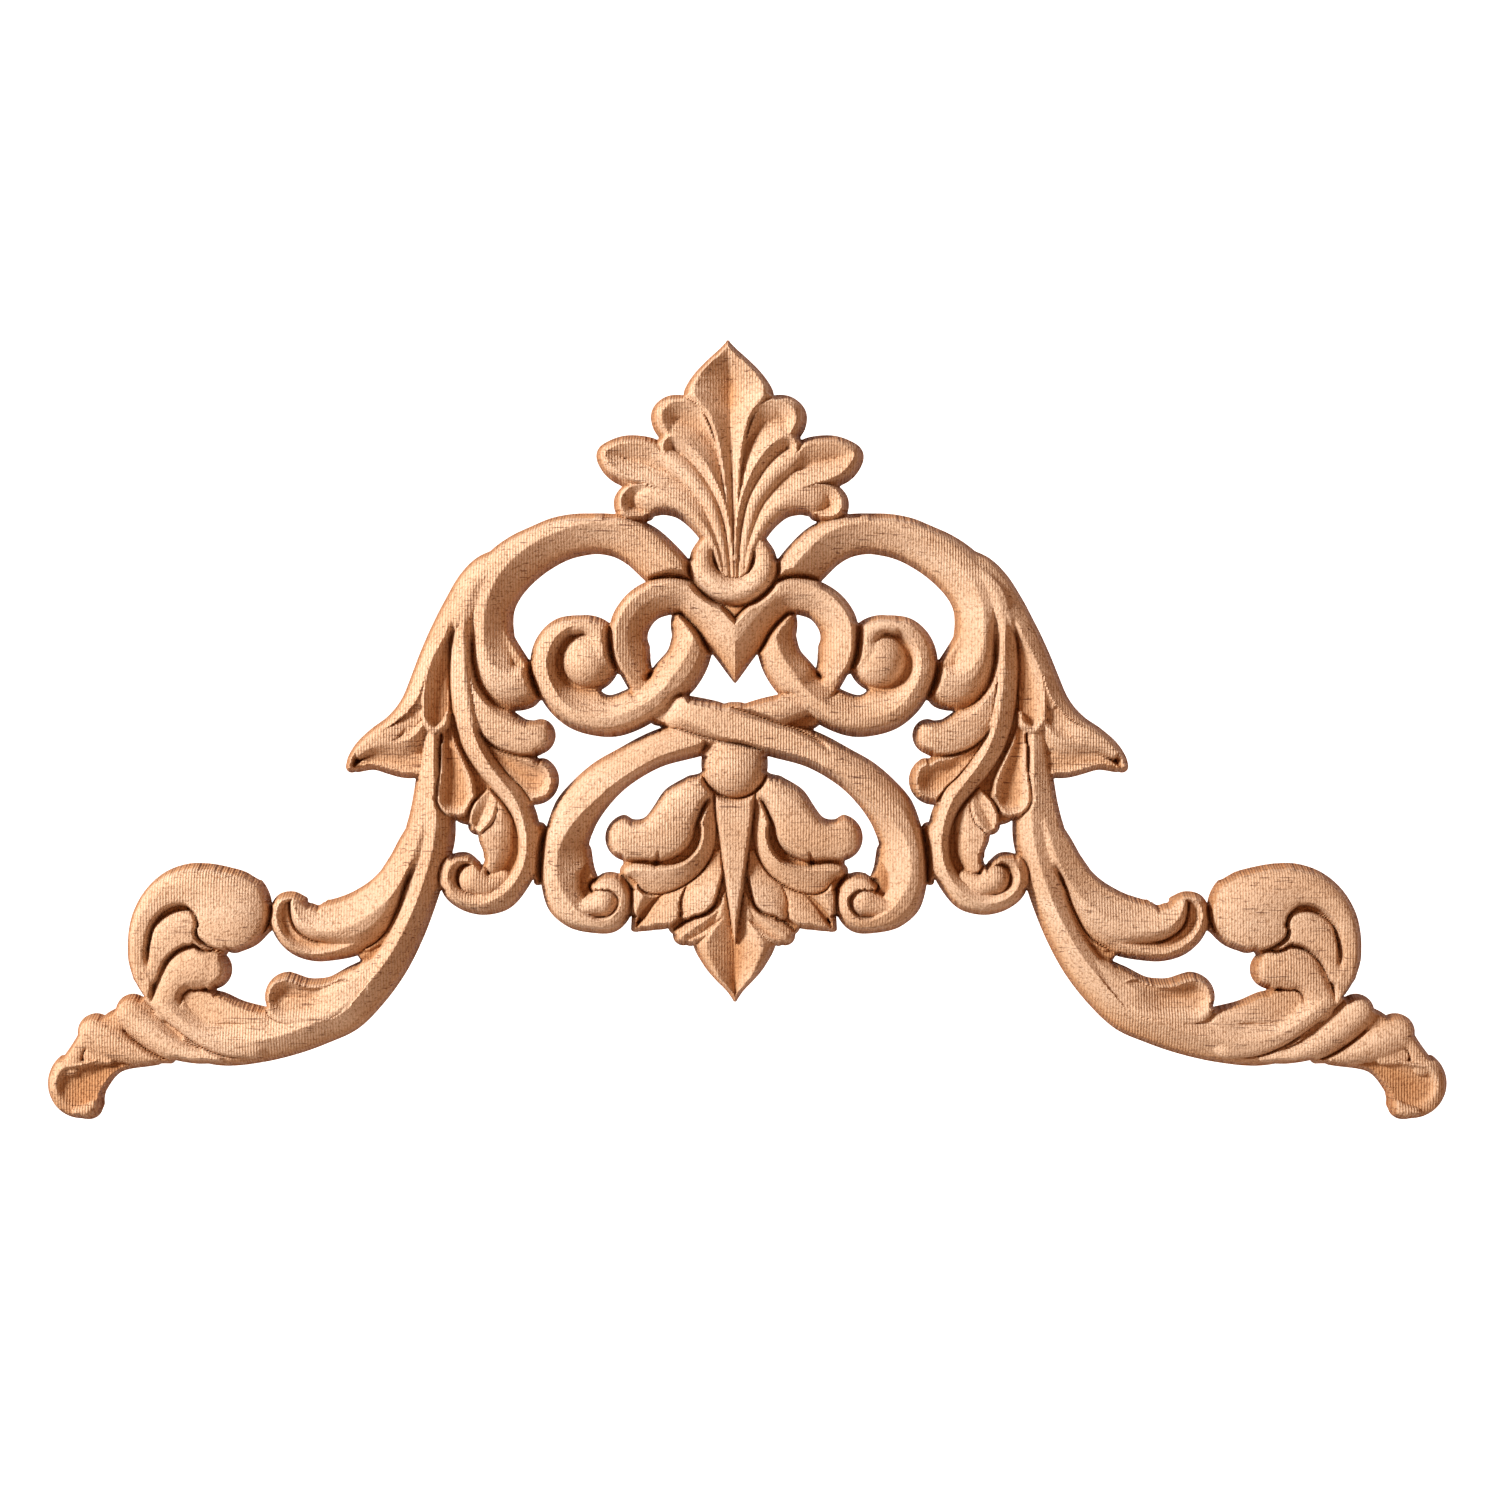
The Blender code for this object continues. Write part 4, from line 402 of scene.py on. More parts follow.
    # main stem, a long S that ends in a curl
    lay([
        (-77.6, 44, 1, 1.6, 13.1), (-77.2, 36, 1.4, 3.8, 13.4), (-77, 27, 1.8, 4.4, 13.4),
        (-76.3, 20, 2, 4.7, 13.4), (-75.1, 13, 2, 4.7, 13.4), (-73.8, 9.5, 2, 4.7, 13.3),
        (-72.6, 6.2, 1.4, 4.2, 12)
    ], left=BEAM, right=GABLE, edge=(11.5, 9.8), over=(10, 5), foot=(12.4, 6))
    lay([
        (-75.1, 13, 1, 4.7, 12.4), (-72.9, 6.6, 2, 4.7, 13.4), (-69.6, 0.8, 2.2, 4.3, 13.4),
        (-66.1, -3.8, 2.4, 4, 13.4), (-62.8, -8.2, 3.2, 3.7, 13.2), (-60.5, -13.6, 3.8, 3, 13),
        (-59.3, -20, 3.7, 2.6, 13), (-59.9, -27, 3.7, 2.6, 12.9), (-62.8, -32.8, 3.8, 3, 12.7),
        (-67, -36.6, 4.4, 3.4, 12.4), (-72, -38.6, 3.5, 3.2, 12.2), (-77, -37.5, 3.3, 2.6, 12),
        (-80.6, -34.6, 3.2, 2.4, 12), (-81.6, -30.8, 2.8, 2.4, 11.9), (-80.3, -27.4, 2.7, 2.2, 11.8),
        (-77, -26, 1.9, 1.7, 11.4), (-73.8, -27.4, 1, 1.2, 10.6)
    ], edge=(8.5, 9.6), over=(5, 4), foot=(7, 6))
    lay([
        (-74.3, -31.8, 4.6, 4.6, 12.4), (-70.4, -33.4, 3.6, 3.6, 11.8), (-66, -31.4, 2.4, 2.4, 10.2)
    ], left=ROUND, edge=8.4, foot=7)


def scrolls(wood):
    """The big C-scroll with its hook, the spiral inside it, and the band that folds to the middle."""
    lay = wood.lay
    lay([
        (-9, 46, 5, 4, 11), (-12.5, 50.5, 7, 4, 12.5), (-16, 55.5, 8.2, 4.9, 13.8),
        (-20.2, 60.2, 8.6, 5.1, 14), (-25, 65, 8.8, 4.7, 14), (-30, 68, 8.8, 3.9, 14),
        (-35, 69.3, 8.6, 3.4, 14), (-40, 69.5, 8.4, 3.3, 14), (-45, 68.7, 8.3, 4, 14),
        (-50, 67, 8, 4.8, 14), (-55, 64.8, 8.2, 5, 14), (-60, 61.5, 8.2, 6, 14), (-65, 57, 8.2, 6.8, 14),
        (-68.5, 52, 7.9, 7, 14), (-70.5, 47, 7.7, 6, 14), (-71.3, 42, 7.9, 5, 14),
        (-71.2, 36, 8.2, 4, 13.8), (-70, 31.4, 7, 5, 13.6)
    ], right=[(0, 1), (0.5, 0.82), (1, 0.1)], foot=2.5)
    # hook at the foot of the scroll
    lay([
        (-71.3, 44, 6, 4, 14), (-71.2, 36, 8.1, 3.9, 13.8), (-69.8, 31, 8.2, 5.4, 13.6),
        (-67, 27.7, 7.5, 8, 13.4), (-63.6, 26.3, 5, 10, 13.2), (-60.4, 27.2, 3, 9.6, 13),
        (-58.4, 28.4, 2, 6.5, 12.4)
    ], right=[(0, 1), (0.3, 0.92), (0.6, 0.65), (1, 0)], edge=(7.5, 6), foot=(3.5, 7), over=(10, 0))
    lay([(-62.7, 24.1, 7.2, 7.2, 10.6), (-62.5, 23.7, 7.2, 7.2, 10.6)], left=ROUND, edge=6, foot=3.5)
    lay([
        (-66, 38, 2.4, 3.4, 9.6), (-64.4, 35, 2.4, 3.6, 9.2), (-61.9, 31.4, 2.2, 3.6, 9),
        (-59.8, 28.6, 2, 3.4, 8.8)
    ], left=ROUND, edge=7)
    # wood between the spiral's ring and its ball
    lay([(-44, 30, 9, 9, 7.5), (-42, 30.5, 9, 9, 7.5)], edge=7, foot=5)
    lay([(-34.5, 38, 3, 3, 6.5), (-34, 34, 3, 3, 6.5), (-32.5, 29, 2.4, 2.4, 6.5)], edge=6)
    lay([(0, 46.6, 4, 4, 7), (0, 44.4, 3, 3, 7), (0, 43, 2, 2, 7)], edge=6.5, foot=5)
    # spiral
    lay([
        (-12, 48, 4, 4.5, 11), (-12.2, 42, 5, 6.2, 12), (-11.9, 37.6, 5.9, 6.2, 13),
        (-12.8, 34.2, 6.4, 6, 13.3), (-14.6, 30.6, 7, 5.6, 13.6), (-18, 26, 7.2, 6, 13.8),
        (-22.2, 20.8, 5.6, 6, 13.8), (-29, 16.6, 5.8, 6.2, 13.8), (-35, 14.6, 5.8, 6.4, 13.8),
        (-40, 14.4, 5.2, 8.2, 13.8), (-45, 16, 5.1, 7.4, 13.8), (-49.5, 19.8, 5, 5, 13.8),
        (-52.5, 25, 4.9, 3, 13.6), (-53.4, 30, 5.2, 2.6, 13.5), (-52.2, 35, 5, 2.6, 13.4),
        (-49, 38.8, 4.4, 2.4, 13.3), (-45, 40.5, 3.2, 2.4, 13.2), (-42.6, 40.4, 3, 2.2, 12.8)
    ], left=BEAM, right=GABLE, edge=7, foot=(3, 7), over=(8, 0))
    lay([
        (-46, 40.2, 3, 2.6, 12.9), (-42.6, 40.2, 3.6, 2.6, 13.1), (-39.4, 38.6, 4.4, 3.8, 13.2),
        (-37.8, 35.6, 5.4, 5, 13.3), (-38.6, 32.4, 6.4, 6, 13.4)
    ], left=ROUND, edge=8, foot=7)
    lay([(-41.7, 30.8, 7.7, 7.7, 13.9), (-41.7, 30.6, 7.7, 7.7, 13.9)], left=ROUND, edge=8, foot=7)
    # fold band
    lay([
        (8, 32.5, 11.6, 1, 13.2), (4, 37.2, 11.2, 1, 13.5), (0, 41.4, 10.6, 1, 13.6),
        (-3.5, 45, 9.4, 1, 13.6), (-8, 48.9, 8.6, 1.2, 13.7), (-12, 51.6, 8.4, 1.4, 13.8),
        (-16, 52.7, 8.6, 1.7, 14), (-21, 52, 8.6, 2.4, 14), (-26, 50, 8.4, 2.6, 14),
        (-30, 46.8, 8.6, 2.6, 14), (-33, 42, 8.8, 2.5, 14), (-34, 37, 9, 1.8, 13.8),
        (-33.2, 31.5, 9.4, 1.8, 13), (-31, 27.4, 8.4, 2, 11.5), (-27.5, 23.6, 6, 3, 9.5),
        (-24, 21, 5, 3, 8)
    ], left=[(0, 1), (0.35, 0.8), (1, 0)], right=GABLE, edge=(7, 9), foot=(3.5, 4.5), over=(0, 10))
    lay([
        (-18.3, 25, 5, 6, 13.8), (-20.4, 22.6, 5, 5.6, 13.8), (-23, 20.4, 5, 5.3, 13.8)
    ], left=BEAM, right=GABLE, edge=(7, 6.5), foot=3, over=(3, 3))


def lower_leaves(wood):
    """The lower scroll, the hooded leaf inside it, and the leaves that hang below the middle."""
    lay, groove = wood.lay, wood.groove
    # ground
    lay([
        (-5, -6, 5, 4, 7), (-6, -16, 6, 5, 7), (-7, -24, 7, 6, 7), (-9, -31, 9, 8, 7), (-17, -36, 8, 7, 7),
        (-25, -40, 4, 4, 7)
    ], edge=6.5, foot=4)
    lay([(0, -38, 8, 8, 6.5), (0, -46, 12, 12, 6.5), (0, -52, 8, 8, 6.5)], edge=6)
    lay([
        (-12, -6, 4, 4, 6.5), (-12, -14, 5, 6, 6.5), (-14, -22, 6, 6, 6.5), (-22, -28, 6, 5, 6.5),
        (-30, -27, 2, 2, 6.5)
    ], edge=6, foot=4)
    lay([(-12.6, -41.4, 2.6, 2.6, 7), (-16.6, -45.2, 2.6, 2.6, 7)], edge=6.5, foot=4)
    lay([
        (-30.4, -29.6, 2.6, 2.6, 7), (-30, -33.5, 2.8, 2.8, 7), (-28.4, -37, 2.4, 2.4, 7)
    ], edge=6.5, foot=4)
    lay([(-44, -24, 3, 3, 7), (-43.4, -29, 3.2, 3.2, 7), (-42, -32.4, 3, 3, 7)], edge=6.5, foot=3)
    # big lower scroll, curled round a ball at its foot
    lay([(-36, -38, 5, 5, 7), (-44, -38, 5, 5, 7)], edge=6.5, foot=4)
    lay([
        (0, 11, 4, 8, 12.5), (-10, 7, 3.6, 8, 13), (-22, 3, 2.9, 7.6, 13.6), (-30, -1.5, 2.8, 7.8, 13.8),
        (-35, -5, 3.2, 8.4, 13.8), (-40, -9.5, 4, 8.6, 13.8), (-45, -14.5, 5.8, 8, 13.8),
        (-48.9, -20, 7.9, 5.8, 13.8), (-50.6, -26, 9.5, 4.9, 13.6), (-50.1, -32, 10.2, 5.5, 13.4),
        (-47.6, -37, 7, 6.7, 13), (-44, -41, 4, 5.8, 12.8), (-40, -43, 1.4, 4.3, 12.6),
        (-36, -42.6, 1.1, 4.6, 12.4), (-33.4, -40, 1, 4.2, 12.3), (-33, -37, 1, 4, 12.2),
        (-35, -35, 1, 5, 12), (-37.4, -34.4, 0.9, 4.5, 11.8), (-39.6, -34.6, 0.8, 2.6, 11.2)
    ], right=BEAM, edge=(7, 7.5), foot=(5, 2.5), over=(8, 0))
    lay([
        (-37.6, -38.3, 4.4, 4.4, 12.6), (-40.5, -39.2, 3.6, 3.6, 12.2), (-44.5, -40.2, 2.5, 2.5, 11.8)
    ], left=ROUND, edge=8, foot=7)
    # lower leaves
    lay([
        (-14, -35, 2.5, 3, 9.4), (-18, -38.6, 5.3, 4.2, 10.8), (-21.5, -41.6, 5.1, 3.8, 11.2),
        (-25, -44, 2.9, 2.2, 10.8), (-28.2, -45.8, 1.2, 0.9, 10)
    ], left=[(0, 0.7), (0.75, 1), (1, 0.2)], right=LEAF, foot=3.5)
    lay([
        (0, -38, 5, 5, 9.6), (0, -42, 6.5, 6.5, 10.4), (0, -46, 9, 9, 11), (0, -50, 11.9, 11.9, 11.2),
        (0, -52.5, 11.3, 11.3, 11.2), (0, -55, 9.9, 9.9, 11.2), (0, -58, 7.9, 7.9, 11.2),
        (0, -61, 5.2, 5.2, 11), (0, -63.6, 2.6, 2.6, 10.6), (0, -66.2, 0.7, 0.7, 10)
    ], left=[(0, 0), (0.68, 1), (1, 0.25)], edge=7, foot=2.5)
    lay([
        (-4, -40, 2, 3, 9.6), (-8, -43, 2.6, 3, 10.4), (-12, -45.8, 3, 3, 10.8),
        (-14.8, -47.8, 3, 3, 10.8)
    ], left=SLANT, edge=7.4, foot=(7, 5), over=(5, 0))
    lay([
        (-4, -44.5, 2, 2, 9.8), (-9, -47.8, 1.8, 2, 10.6), (-12.8, -49.4, 1.6, 1.6, 10.6)
    ], edge=7.6, foot=(5, 7))
    lay([
        (-4.5, -26, 2, 3, 9), (-7, -31.5, 3.6, 5, 10.6), (-10.3, -36.3, 5.4, 4.4, 11.3),
        (-12.6, -39.8, 4, 3.4, 11.4), (-13.8, -41.8, 1.8, 1.8, 11)
    ], left=[(0, 0.7), (0.8, 1), (1, 0.2)], right=LEAF, edge=7.8, foot=(5.5, 7), over=(5, 0))
    # band under the hood, running down to a point
    lay([
        (-22, -31, 6, 3, 11.4), (-25, -34.5, 4, 4, 11), (-27.2, -38.8, 2.4, 2.4, 10.6),
        (-28.4, -42.5, 1.2, 1.2, 10.2), (-28.9, -46, 0.9, 0.9, 9.8)
    ], left=SLANT, right=[(0, 1), (1, 0.8)], edge=7.6, foot=6)
    lay([
        (-8.2, -4, 3.4, 3, 12), (-9.4, -9, 3.8, 2.4, 12.4), (-9.8, -13, 4.2, 1.4, 12.8),
        (-9.2, -17, 4, 1, 12.8), (-9.3, -20.5, 3.9, 1, 12.8), (-10.6, -23.8, 4.2, 1, 12.7),
        (-13.8, -27, 5, 1, 12.5), (-19.4, -28.8, 6.6, 1.2, 12.2), (-24, -29, 7, 1.6, 11.8),
        (-28, -29, 4.6, 2, 11.4), (-30, -29.4, 2, 1.8, 11)
    ], left=[(0, 1), (1, 0.1)], right=GABLE, edge=(7.8, 8.5), foot=(6.4, 7), over=(3, 0))
    # hooded leaf
    lay([
        (-8, -5, 3.2, 4.2, 12.2), (-11, -7.2, 4, 5.6, 13.2), (-15, -11, 6.2, 6.9, 13.6),
        (-19.4, -15, 9.8, 5.8, 13.6), (-24.2, -18, 9.6, 4.2, 13.2), (-28, -19.4, 7.4, 5, 12.8),
        (-30.4, -19.9, 6.8, 6.7, 12.6)
    ], left=[(0, 1), (0.5, 0.92), (0.8, 0.7), (1, 0.2)], right=[(0, 1), (0.4, 0.92), (0.75, 0.6), (1, 0)],
        edge=(8.6, 7.6), foot=(6, 3), over=(4, 0))
    groove([(-21.8, -23.8, 0.4, 0.4, 1), (-22.1, -25.4, 0.9, 0.9, 3.4), (-22.6, -27.4, 1.3, 1.3, 3)])


def palmette(wood):
    """The crown: a central leaf, three leaves to each side, and the calyx that they grow from."""
    lay, groove = wood.lay, wood.groove
    # wood under the leaves
    lay([
        (0, 54, 5, 5, 8.8), (0, 66, 4.5, 4.5, 8.8), (0, 78, 8, 8, 8.8), (0, 92, 15, 15, 8.8),
        (0, 101, 17, 17, 8.8), (0, 107, 11, 11, 8.8)
    ], left=PLATE, edge=7, foot=4)
    lay([
        (-4, 70, 4, 4, 8.9), (-14, 81, 7, 7, 8.9), (-22, 85.4, 8.4, 8.4, 8.9), (-28, 87, 7.4, 7, 8.9)
    ], left=PLATE, edge=7, foot=4)
    # ridge round the central leaf
    lay([
        (-0.9, 70, 1, 1.2, 10.5), (-1.7, 80, 1.4, 2, 11.8), (-2.5, 87, 1.7, 2.8, 12.4),
        (-3.5, 93, 2.6, 3.8, 12.8), (-4.7, 97.5, 4.4, 5, 13), (-6.3, 101, 5, 6.4, 13.2),
        (-8.4, 103.6, 3.6, 6, 13.3)
    ], edge=(8, 8.6), foot=(3, 8.6))
    lay([
        (0, 121.8, 0.5, 0.5, 12.4), (0, 119.5, 2.8, 2.8, 12.9), (0, 116, 6.7, 6.7, 13.3),
        (0, 113, 9.6, 9.6, 13.4), (0, 110, 11.8, 11.8, 13.4), (0, 107.5, 13, 13, 13.4),
        (0, 105.6, 12.8, 12.8, 13.3), (0, 103.6, 10.8, 10.8, 13.2), (0, 101, 7.9, 7.9, 13.1),
        (0, 97, 5.9, 5.9, 13), (0, 93, 4.6, 4.6, 12.8), (0, 87, 3.3, 3.3, 12.4), (0, 80, 2.5, 2.5, 12),
        (0, 70, 1.7, 1.7, 11.4), (0, 60, 1.3, 1.3, 11)
    ], left=[(0, 1), (0.78, 1), (1, 0.3)], edge=8, foot=12.5, over=(0, 6))
    groove([
        (0, 118.6, 1.6, 1.6, 0.6), (0, 113, 7.2, 7.2, 4.6), (0, 108, 10, 10, 6.4), (0, 104, 8.8, 8.8, 6),
        (0, 101, 6.3, 6.3, 5), (0, 97, 4.7, 4.7, 4.2), (0, 93, 3.6, 3.6, 3.6), (0, 87, 2.6, 2.6, 3),
        (0, 80, 1.9, 1.9, 2.6), (0, 70, 1.3, 1.3, 2), (0, 61, 1, 1, 1.4)
    ])
    # upper side leaf
    lay([
        (-6.5, 101.6, 5, 1.5, 12.2), (-10.6, 104, 5.6, 1.6, 12.4), (-14.2, 104.3, 5.2, 2.4, 12.5),
        (-17.2, 103.3, 5, 3, 12.5), (-19.2, 101, 5, 3.3, 12.4), (-19.2, 98.2, 4.4, 3.1, 12.4),
        (-17.8, 95.6, 3.4, 2.8, 12.4), (-16.4, 93.6, 1.2, 2.6, 12)
    ], edge=(8.6, 8), foot=(8.4, 4))
    # small leaf between
    lay([
        (-0.3, 54, 1.4, 0.8, 10), (-0.5, 62, 1.8, 1, 11.2), (-1, 69, 2.2, 1.3, 12),
        (-2.2, 75, 3, 1.6, 12.4), (-4.2, 80.5, 3.4, 2.4, 12.7), (-6.8, 85.6, 3.8, 4, 12.9),
        (-10, 89.9, 4, 5.2, 13), (-13.5, 93, 4, 5.6, 13), (-16.6, 94.2, 3.6, 4.8, 12.8),
        (-18.6, 93.2, 3.4, 2.4, 12.6), (-19.2, 90.8, 3, 1.8, 12.3), (-18.4, 88.2, 2.6, 1.6, 11.8)
    ], edge=(8.4, 8.6), foot=(8.2, 8.4))
    lay([
        (-2.2, 55, 1.4, 1.4, 10.2), (-3.4, 64, 1.8, 1.8, 11.2), (-5, 71, 2.4, 2.2, 11.8),
        (-6.9, 76.2, 2.8, 2.6, 12), (-9.4, 80, 3.2, 2.8, 12.2), (-13, 84.2, 3.4, 3.2, 12.2),
        (-16.6, 87, 3.4, 3.4, 12.1), (-19.4, 89, 2.6, 3, 11.8)
    ], left=ROUND, edge=8.6, foot=8.2)
    # big side leaf
    lay([
        (-19.6, 89.4, 4.4, 2, 11.8), (-22, 91.5, 5, 2.5, 12.2), (-26, 92.3, 5, 2.7, 12.3),
        (-30, 92.2, 4.4, 2.8, 12.3), (-33.4, 91.2, 4, 2.7, 12.2), (-35.6, 89.4, 4, 2.9, 12),
        (-34.4, 86.4, 5.4, 3, 12), (-31.8, 83.8, 6.4, 2.8, 12), (-28.4, 82, 7, 2, 12),
        (-24.4, 80.9, 7.4, 1.8, 12), (-20, 79.4, 7, 2, 11.8)
    ], edge=(8.8, 8), foot=(8.6, 3.5))
    # low side leaf with its bowl
    lay([
        (-3.4, 55, 1.4, 1.6, 10.4), (-4.7, 61, 2, 2.3, 11.6), (-6.8, 66.5, 3, 2.6, 12.1),
        (-10, 71.6, 3.8, 4, 12.4), (-14, 75.2, 4.3, 5.4, 12.4), (-18.5, 77.4, 5.4, 7, 12.2),
        (-22.5, 78.4, 6.8, 7, 11.6)
    ], left=ROUND, right=GABLE, edge=(7.6, 8.8), foot=(8, 8.6))
    lay([
        (-22, 79.8, 4.6, 1.4, 11.6), (-26, 80.6, 5, 1.4, 11.8), (-29.6, 79.4, 5, 1.8, 11.9),
        (-31.5, 76.8, 5, 2.2, 11.9), (-31.6, 74.2, 5, 2.2, 11.8), (-30.2, 72.2, 4.4, 2.2, 11.4),
        (-27.2, 71.4, 3.8, 1.5, 10.8), (-24.6, 71.7, 3, 1.2, 10.2)
    ], left=[(0, 1), (0.7, 0.2), (1, 0)], right=GABLE, edge=7.4, foot=(7.4, 3.5))
    # calyx
    lay([
        (-7.6, 64.2, 2.6, 2.6, 11.2), (-8.9, 60.4, 3.2, 3.6, 12), (-8.7, 56.2, 3.6, 4.1, 12.5),
        (-6.4, 52.8, 4, 4, 12.8), (-3, 50.4, 4.1, 3.8, 13), (3, 49.6, 4.1, 3.8, 13)
    ], left=ROUND, edge=(9, 8), foot=(9.6, 5), over=(3, 0))
    groove([
        (-6, 61.5, 0.6, 0.6, 0.8), (-5.6, 59.5, 0.8, 0.8, 2.4), (-4.8, 57.2, 0.8, 0.8, 2.4),
        (-3.9, 55.2, 0.6, 0.6, 0.8)
    ])


def centre(wood):
    """The long spike and the ball."""
    lay = wood.lay
    lay([
        (0, -7, 6, 6, 12.4), (0, -12, 5.7, 5.7, 12.4), (0, -24, 4.1, 4.1, 12.4), (0, -33, 2.9, 2.9, 12.4),
        (0, -49.8, 0.3, 0.3, 12)
    ], left=[(0, 1), (0.82, 1), (1, 0.5)], edge=9.6, foot=7, over=(0, 0))
    lay([(0, 1.4, 9.7, 9.7, 14), (0, 1, 9.7, 9.7, 14)], left=ROUND, edge=8, foot=6, over=(0, 0))


def crossing(wood):
    """The two straps that cross above the ball, which aren't alike left and right."""
    lay = wood.lay
    lay([(-22, 15, 3, 3, 7), (-12, 14, 4, 4, 7), (12, 13, 4, 4, 7), (22, 14.4, 3.4, 3.4, 7)], edge=6)
    lay([
        (22, 19.6, 4.6, 3, 10), (14, 16.4, 4.4, 4.8, 12.4), (8, 14.6, 4, 5.2, 12.8),
        (3, 13.2, 3.6, 5, 12.8), (-6, 10, 4, 5, 12.8)
    ], left=[(0, 1), (0.5, 0.85), (1, 0.2)], right=[(0, 1), (0.7, 0.8), (1, 0.2)], edge=8, foot=6)
    lay([
        (-19.4, 16.4, 4.6, 4, 9.6), (-16.8, 15.1, 6.2, 4, 12.4), (-14, 13.8, 7.2, 3.2, 13.6),
        (-8, 10.9, 8.8, 2.2, 14.3), (-4, 9, 9, 1.4, 14.4), (2, 7.7, 8.2, 1, 14.4), (10, 5.3, 7.8, 1, 14.3),
        (16, 3.6, 7.6, 1.4, 14), (22, 1.7, 6.4, 1.2, 13.7), (27, -0.6, 4.8, 0.9, 13.2)
    ], left=[(0, 1), (0.85, 0.78), (1, 0.3)], right=GABLE, edge=(9.4, 9.8), foot=(7, 8.5), over=(3, 8))


def lean_and_spread(x, z):
    """The carving's own slight skew: its crown leans left, and both arms' ends stand further right."""
    lean = CROWN_LEAN * np.maximum(z - LEAN_FROM, 0)
    spread = ARM_SPREAD * np.maximum(np.abs(x) - SPREAD_FROM, 0)
    drawn_in = DRAWN_IN * np.clip(x / DRAWN_IN_BY, 0, 1)
    return x - lean + spread - drawn_in


def sampled(grid, wood, x, z):
    """A grid's value between its points."""
    column = (x - wood.xs[0]) / PITCH
    row = (z - wood.zs[0]) / PITCH
    i = np.clip(column.astype(int), 0, len(wood.xs) - 2)
    j = np.clip(row.astype(int), 0, len(wood.zs) - 2)
    u, v = column - i, row - j
    low = grid[j, i] * (1 - u) + grid[j, i + 1] * u
    high = grid[j + 1, i] * (1 - u) + grid[j + 1, i + 1] * u
    return low * (1 - v) + high * v


def eased_walls(height):
    """Lowers what stands closer to a drop than the steepest wall allows."""
    for _ in range(WALL_PASSES):
        for axis in (0, 1):
            for shift in (1, -1):
                beside = np.roll(height, shift, axis)
                height = np.minimum(height, np.maximum(beside, 0) + STEEPEST * PITCH)
    return height


def carved_wood():
    """The whole carved face: the left half, its mirror image, and the straps that cross in the middle."""
    columns = round(GRID_HALF_WIDTH / PITCH)
    xs = np.arange(-columns, columns + 1) * PITCH
    zs = np.arange(GRID_BOTTOM, GRID_TOP + PITCH / 2, PITCH)
    half = Carving(xs[:columns + 1], zs)
    for carve in (arms, volutes, shoulders, scrolls, lower_leaves, palmette, centre):
        carve(half)
    wood = Carving(xs, zs)
    wood.height = np.hstack([half.height, half.height[:, -2::-1]])
    wood.inside = np.hstack([half.inside, half.inside[:, -2::-1]])
    crossing(wood)
    wood.height = eased_walls(wood.height)
    return wood


def face_sheet(wood):
    """Flat grid trimmed to the outline, with its border drawn onto it."""
    rows, columns = wood.height.shape
    sheet = bmesh.new()
    bmesh.ops.create_grid(sheet, x_segments=columns - 1, y_segments=rows - 1, size=1.0)
    bmesh.ops.scale(sheet, verts=sheet.verts, vec=(wood.xs[-1], (wood.zs[-1] - wood.zs[0]) / 2, 1))
    bmesh.ops.translate(sheet, verts=sheet.verts, vec=(0, (wood.zs[-1] + wood.zs[0]) / 2, 0))
    points = np.array([v.co[:2] for v in sheet.verts])
    within = sampled(wood.inside, wood, *points.T)
    outside = [f for f in sheet.faces if sum(within[v.index] for v in f.verts) <= 0]
    bmesh.ops.delete(sheet, geom=outside, context="FACES")
    pinched = [v for v in sheet.verts if sum(e.is_boundary for e in v.link_edges) > 2]
    bmesh.ops.delete(sheet, geom=pinched, context="VERTS")
    border = [v for v in sheet.verts if v.is_boundary]
    points = np.array([v.co[:2] for v in border])
    slope_z, slope_x = np.gradient(wood.inside, PITCH)
    for _ in range(BORDER_STEPS):
        within, gx, gz = (sampled(g, wood, *points.T) for g in (wood.inside, slope_x, slope_z))
        stretch = within / np.maximum(gx * gx + gz * gz, LEAST_SLOPE)
        points -= np.clip(np.stack([gx * stretch, gz * stretch], 1), -PITCH / 2, PITCH / 2)
    for vert, (x, z) in zip(border, points):
        vert.co.x, vert.co.y = x, z
    beside = [v for v in sheet.verts
              if not v.is_boundary and any(e.other_vert(v).is_boundary for e in v.link_edges)]
    for _ in range(RELAX_STEPS):
        bmesh.ops.smooth_vert(sheet, verts=beside, factor=0.5, use_axis_x=True, use_axis_y=True)
    return sheet


def lift(sheet, wood):
    """Stands the sheet upright, facing -Y, and gives each point its carved height."""
    points = np.array([v.co[:2] for v in sheet.verts])
    heights = np.maximum(sampled(np.maximum(wood.height, THINNEST), wood, *points.T), THINNEST)
    places = lean_and_spread(*points.T)
    for vert, x, z, height in zip(sheet.verts, places, points[:, 1], heights):
        vert.co = (x * MM, -height * MM, z * MM)


def backed(sheet):
    """Walls from the border to the flat back, and the back itself."""
    back = bmesh.ops.extrude_face_region(sheet, geom=sheet.faces[:], use_keep_orig=True)["geom"]
    for vert in (g for g in back if isinstance(g, bmesh.types.BMVert)):
        vert.co.y = 0
    bmesh.ops.recalc_face_normals(sheet, faces=sheet.faces)


def in_order(sheet):
    """The same faces in a fixed order, which the walls don't come in, so that each run thins them alike."""
    sheet.verts.index_update()
    faces = sorted([v.index for v in f.verts] for f in sheet.faces)
    ordered = bmesh.new()
    corners = [ordered.verts.new(v.co) for v in sheet.verts]
    for face in faces:
        ordered.faces.new([corners[i] for i in face])
    return ordered


